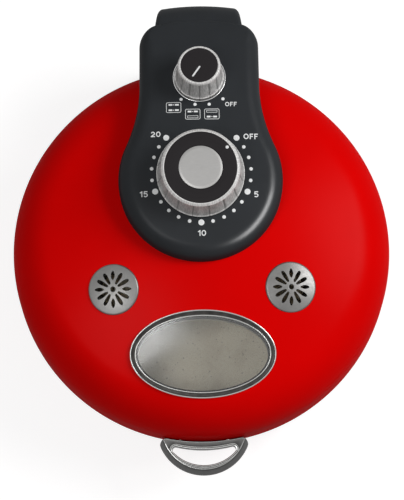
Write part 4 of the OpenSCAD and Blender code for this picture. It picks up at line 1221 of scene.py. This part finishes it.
class BuildCooking(bpy.types.Operator):
    """Stone and the two tubular heaters"""

    bl_idname = "pizza.cooking"
    bl_label = "Stone and heaters"

    def execute(self, context):
        (_, _, low), (r, _, high) = node_box("stone_plate")
        section = rounded([(0, low + 4.5, 0), (9.6, low + 4.5, 0), (9.6, low, 0.6), (r, low, 2),
                           (r, high, 2.5), (0, high, 0)], 6)
        piece("baking_stone", revolve(section, 200), "stone", stone(), "stone_plate")
        metal = heater_tube()
        for name, body, node, run in (("heater_low", "base", "lower_element", self.low_run),
                                      ("heater_top", "lid", "upper_element", self.top_run)):
            path, side = run(node_box(node)[1])
            piece(name, tube(path, side, 3.25), body, metal, node)
        return {"FINISHED"}

    def low_run(self, high, ring=105, z=40.5, half=14.0, bend=8.0):
        """An open ring whose two ends turn outwards at the rear on a bend, with the tube's level side."""
        start = degrees(asin((half + bend) / (ring - bend)))
        y = sqrt((ring - bend) ** 2 - (half + bend) ** 2)
        tail = np.linspace((half, y), (half, high[1]), 12)[:0:-1]
        plan = np.concatenate([tail, arc(half + bend, y, bend, 180, 90 - start, 14),
                               arc(0, 0, ring, 90 - start, -90, 120)[1:]])
        plan = mirrored(plan, [-1, 1])
        return raised(plan, z), np.tile([0, 0, 1.0], (len(plan), 1))

    def top_run(self, high, ring=76, z=118, y=30, half=14.0, bend=8.0):
        """An open ring whose two ends turn upwards under the panel on a bend, with the tube's outer side."""
        start = 90 - degrees(asin(half / ring))
        turn = degrees(bend / ring)
        rise = np.radians(np.linspace(90, 0, 12))
        angle = np.concatenate([np.full(7, start), start - turn + turn * np.sin(rise),
                                np.linspace(start - turn, -90, 120)[1:]])
        height = np.concatenate([np.linspace(high[2] - z, bend, 8)[:-1], bend * (1 - np.cos(rise)),
                                 np.zeros(119)])
        path = mirrored(polar(ring, np.radians(angle), z + height, (0, y)), [-1, 1, 1])
        return path, raised(path[:, :2] - [0, y], 0)


class BuildFittings(bpy.types.Operator):
    """Finishes of the parts that keep their CAD form"""

    bl_idname = "pizza.fittings"
    bl_label = "Fittings"

    def execute(self, context):
        zinc = cast("zinc_plate", 0.5, 0.36, 1.2, 0.015, (1.0, 0.99, 0.95))
        steel = cast("sheet_steel", 0.42, 0.38, 1.0, 0.015)
        brass = cast("brass_parts", 0.6, 0.3, 0.8, 0.01, (1.0, 0.76, 0.38))
        brown = phenolic("brown_moulding", (0.05, 0.02, 0.01), (0.11, 0.05, 0.025))
        ivory = phenolic("ivory_moulding", (0.62, 0.58, 0.46), (0.75, 0.72, 0.62))
        finishes = {
            zinc: ["foot_screws", "motor_screws", "rear_housing_screws", "housing_screws", "bezel_nuts",
                   "hinge_arm_screws", "handle_screws", "switch_screws", "hinge_pins", "timer_shaft",
                   "selector_shaft", "drive_shaft", "lower_element_clips", "upper_element_clips"],
            steel: ["bottom_cover", "motor_bracket", "drive_motor", "turntable"],
            # The ducts under the vents: near-black steel as painted shade under the slots.
            bpy.data.materials["sooty_steel"]: ["vent_ducts"],
            brass: ["shaft_bush", "timer_unit"],
            brown: ["base_thermostat", "lid_thermostat"],
            ivory: ["thermal_fuse", "terminal_block", "selector_switch"],
            rubber(): ["rubber_feet"],
            moulding("gland_moulding", 0.45, 0.03): ["cord_gland"],
        }
        for material, names in finishes.items():
            for name in names:
                slots = frame["nodes"][name].data.materials
                slots.clear()
                slots.append(material)
        return {"FINISHED"}


# ---------------------------------------------------------------- stage

class BuildStage(bpy.types.Operator):
    """Pale floor, plain soft light and the camera"""

    bl_idname = "pizza.stage"
    bl_label = "Stage"

    def execute(self, context):
        s = context.scene.pizza_stage
        context.scene.view_settings.view_transform = "Standard"
        self.floor()
        self.world(s)
        self.lamp("key_lamp", (1.3, 0.35, 1.35), (0.9, 0.9), s.key)
        self.lamp("fill_lamp", (-0.5, -0.3, 1.5), (0.5, 0.6), s.fill)
        self.lamp("sheen_lamp", (1.0, -0.42, 1.1), (1.1, 0.55), s.sheen).visible_diffuse = False
        self.camera(s)
        return {"FINISHED"}

    def floor(self):
        mesh = bpy.data.meshes.new("floor")
        far = 9
        mesh.from_pydata([(-far, -far, 0), (far, -far, 0), (far, far, 0), (-far, far, 0)], [], [(0, 1, 2, 3)])
        floor = add("floor", mesh)
        f = Finish("pale_floor", Base_Color=(0.4, 0.4, 0.4), Roughness=0.9, Specular_IOR_Level=0.0,
                   Emission_Strength=1.0)
        f.set("Emission Color", f.mix(f.seen() * 0.78, (0, 0, 0), (1, 1, 1)))
        mesh.materials.append(f.material)

    def world(self, s):
        world = bpy.data.worlds.new("studio")
        world.use_nodes = True
        bpy.context.scene.world = world
        nodes = Nodes(world.node_tree)
        background = world.node_tree.nodes["Background"]
        background.inputs["Color"].default_value = (1, 1, 1, 1)
        nodes.feed(background.inputs["Strength"], nodes.seen().spread(0, 1, s.world, 1.0))

    def lamp(self, name, place, size, power):
        """A rectangular lamp at a place in metres that shines on the object's middle."""
        data = bpy.data.lights.new(name, "AREA")
        data.shape, (data.size, data.size_y), data.energy = "RECTANGLE", size, power
        way = Vector((0, 0, 0.1)) - Vector(place)
        return self.placed(name, data, place, way.to_track_quat("-Z", "Y"))

    def camera(self, s):
        """It looks at a point a little above the lid's middle, so the object sits as in the photograph."""
        level = cos(s.elevation)
        back = Vector((sin(s.azimuth) * level, -cos(s.azimuth) * level, sin(s.elevation)))
        turned = (-back).to_track_quat("-Z", "Y")
        aim = Vector(ORIGIN) + Vector((0, 0, RIM_Z * MM)) + turned @ Vector((0.0005, 0.0067, 0))
        data = bpy.data.cameras.new("camera")
        data.lens, data.sensor_width = s.lens, 36.0
        bpy.context.scene.camera = self.placed("camera", data, aim + back * s.distance, turned)

    def placed(self, name, data, place, turned):
        obj = add(name, data)
        obj.rotation_mode = "QUATERNION"
        obj.location, obj.rotation_quaternion = place, turned
        return obj


# ---------------------------------------------------------------- sidebar and run

STEPS = (BuildStage, BuildLid, BuildWindow, BuildVents, BuildPanel, BuildPrint, BuildTimer, BuildSelector,
         BuildHandle, BuildHinge, BuildBase, BuildCooking, BuildFittings)
GROUPS = {"pizza_lid": LidSettings, "pizza_panel": PanelSettings, "pizza_knobs": KnobSettings,
          "pizza_stage": StageSettings}


class PizzaPanel(bpy.types.Panel):
    """Lists the settings and the steps"""

    bl_idname = "VIEW3D_PT_pizza"
    bl_label = "Pizza maker"
    bl_space_type = "VIEW_3D"
    bl_region_type = "UI"
    bl_category = "Pizza maker"

    def draw(self, context):
        for name, group in GROUPS.items():
            box = self.layout.box()
            for field in group.__annotations__:
                box.prop(getattr(context.scene, name), field)
        for step in STEPS:
            self.layout.operator(step.bl_idname)


CLASSES = (*GROUPS.values(), *STEPS, PizzaPanel)


def register():
    for cls in CLASSES:
        bpy.utils.register_class(cls)
    for name, group in GROUPS.items():
        setattr(bpy.types.Scene, name, PointerProperty(type=group))


def unregister():
    for name in GROUPS:
        delattr(bpy.types.Scene, name)
    for cls in reversed(CLASSES):
        bpy.utils.unregister_class(cls)


def main():
    register()
    for step in STEPS:
        getattr(bpy.ops.pizza, step.bl_idname.split(".")[1])()


if __name__ == "__main__":
    main()
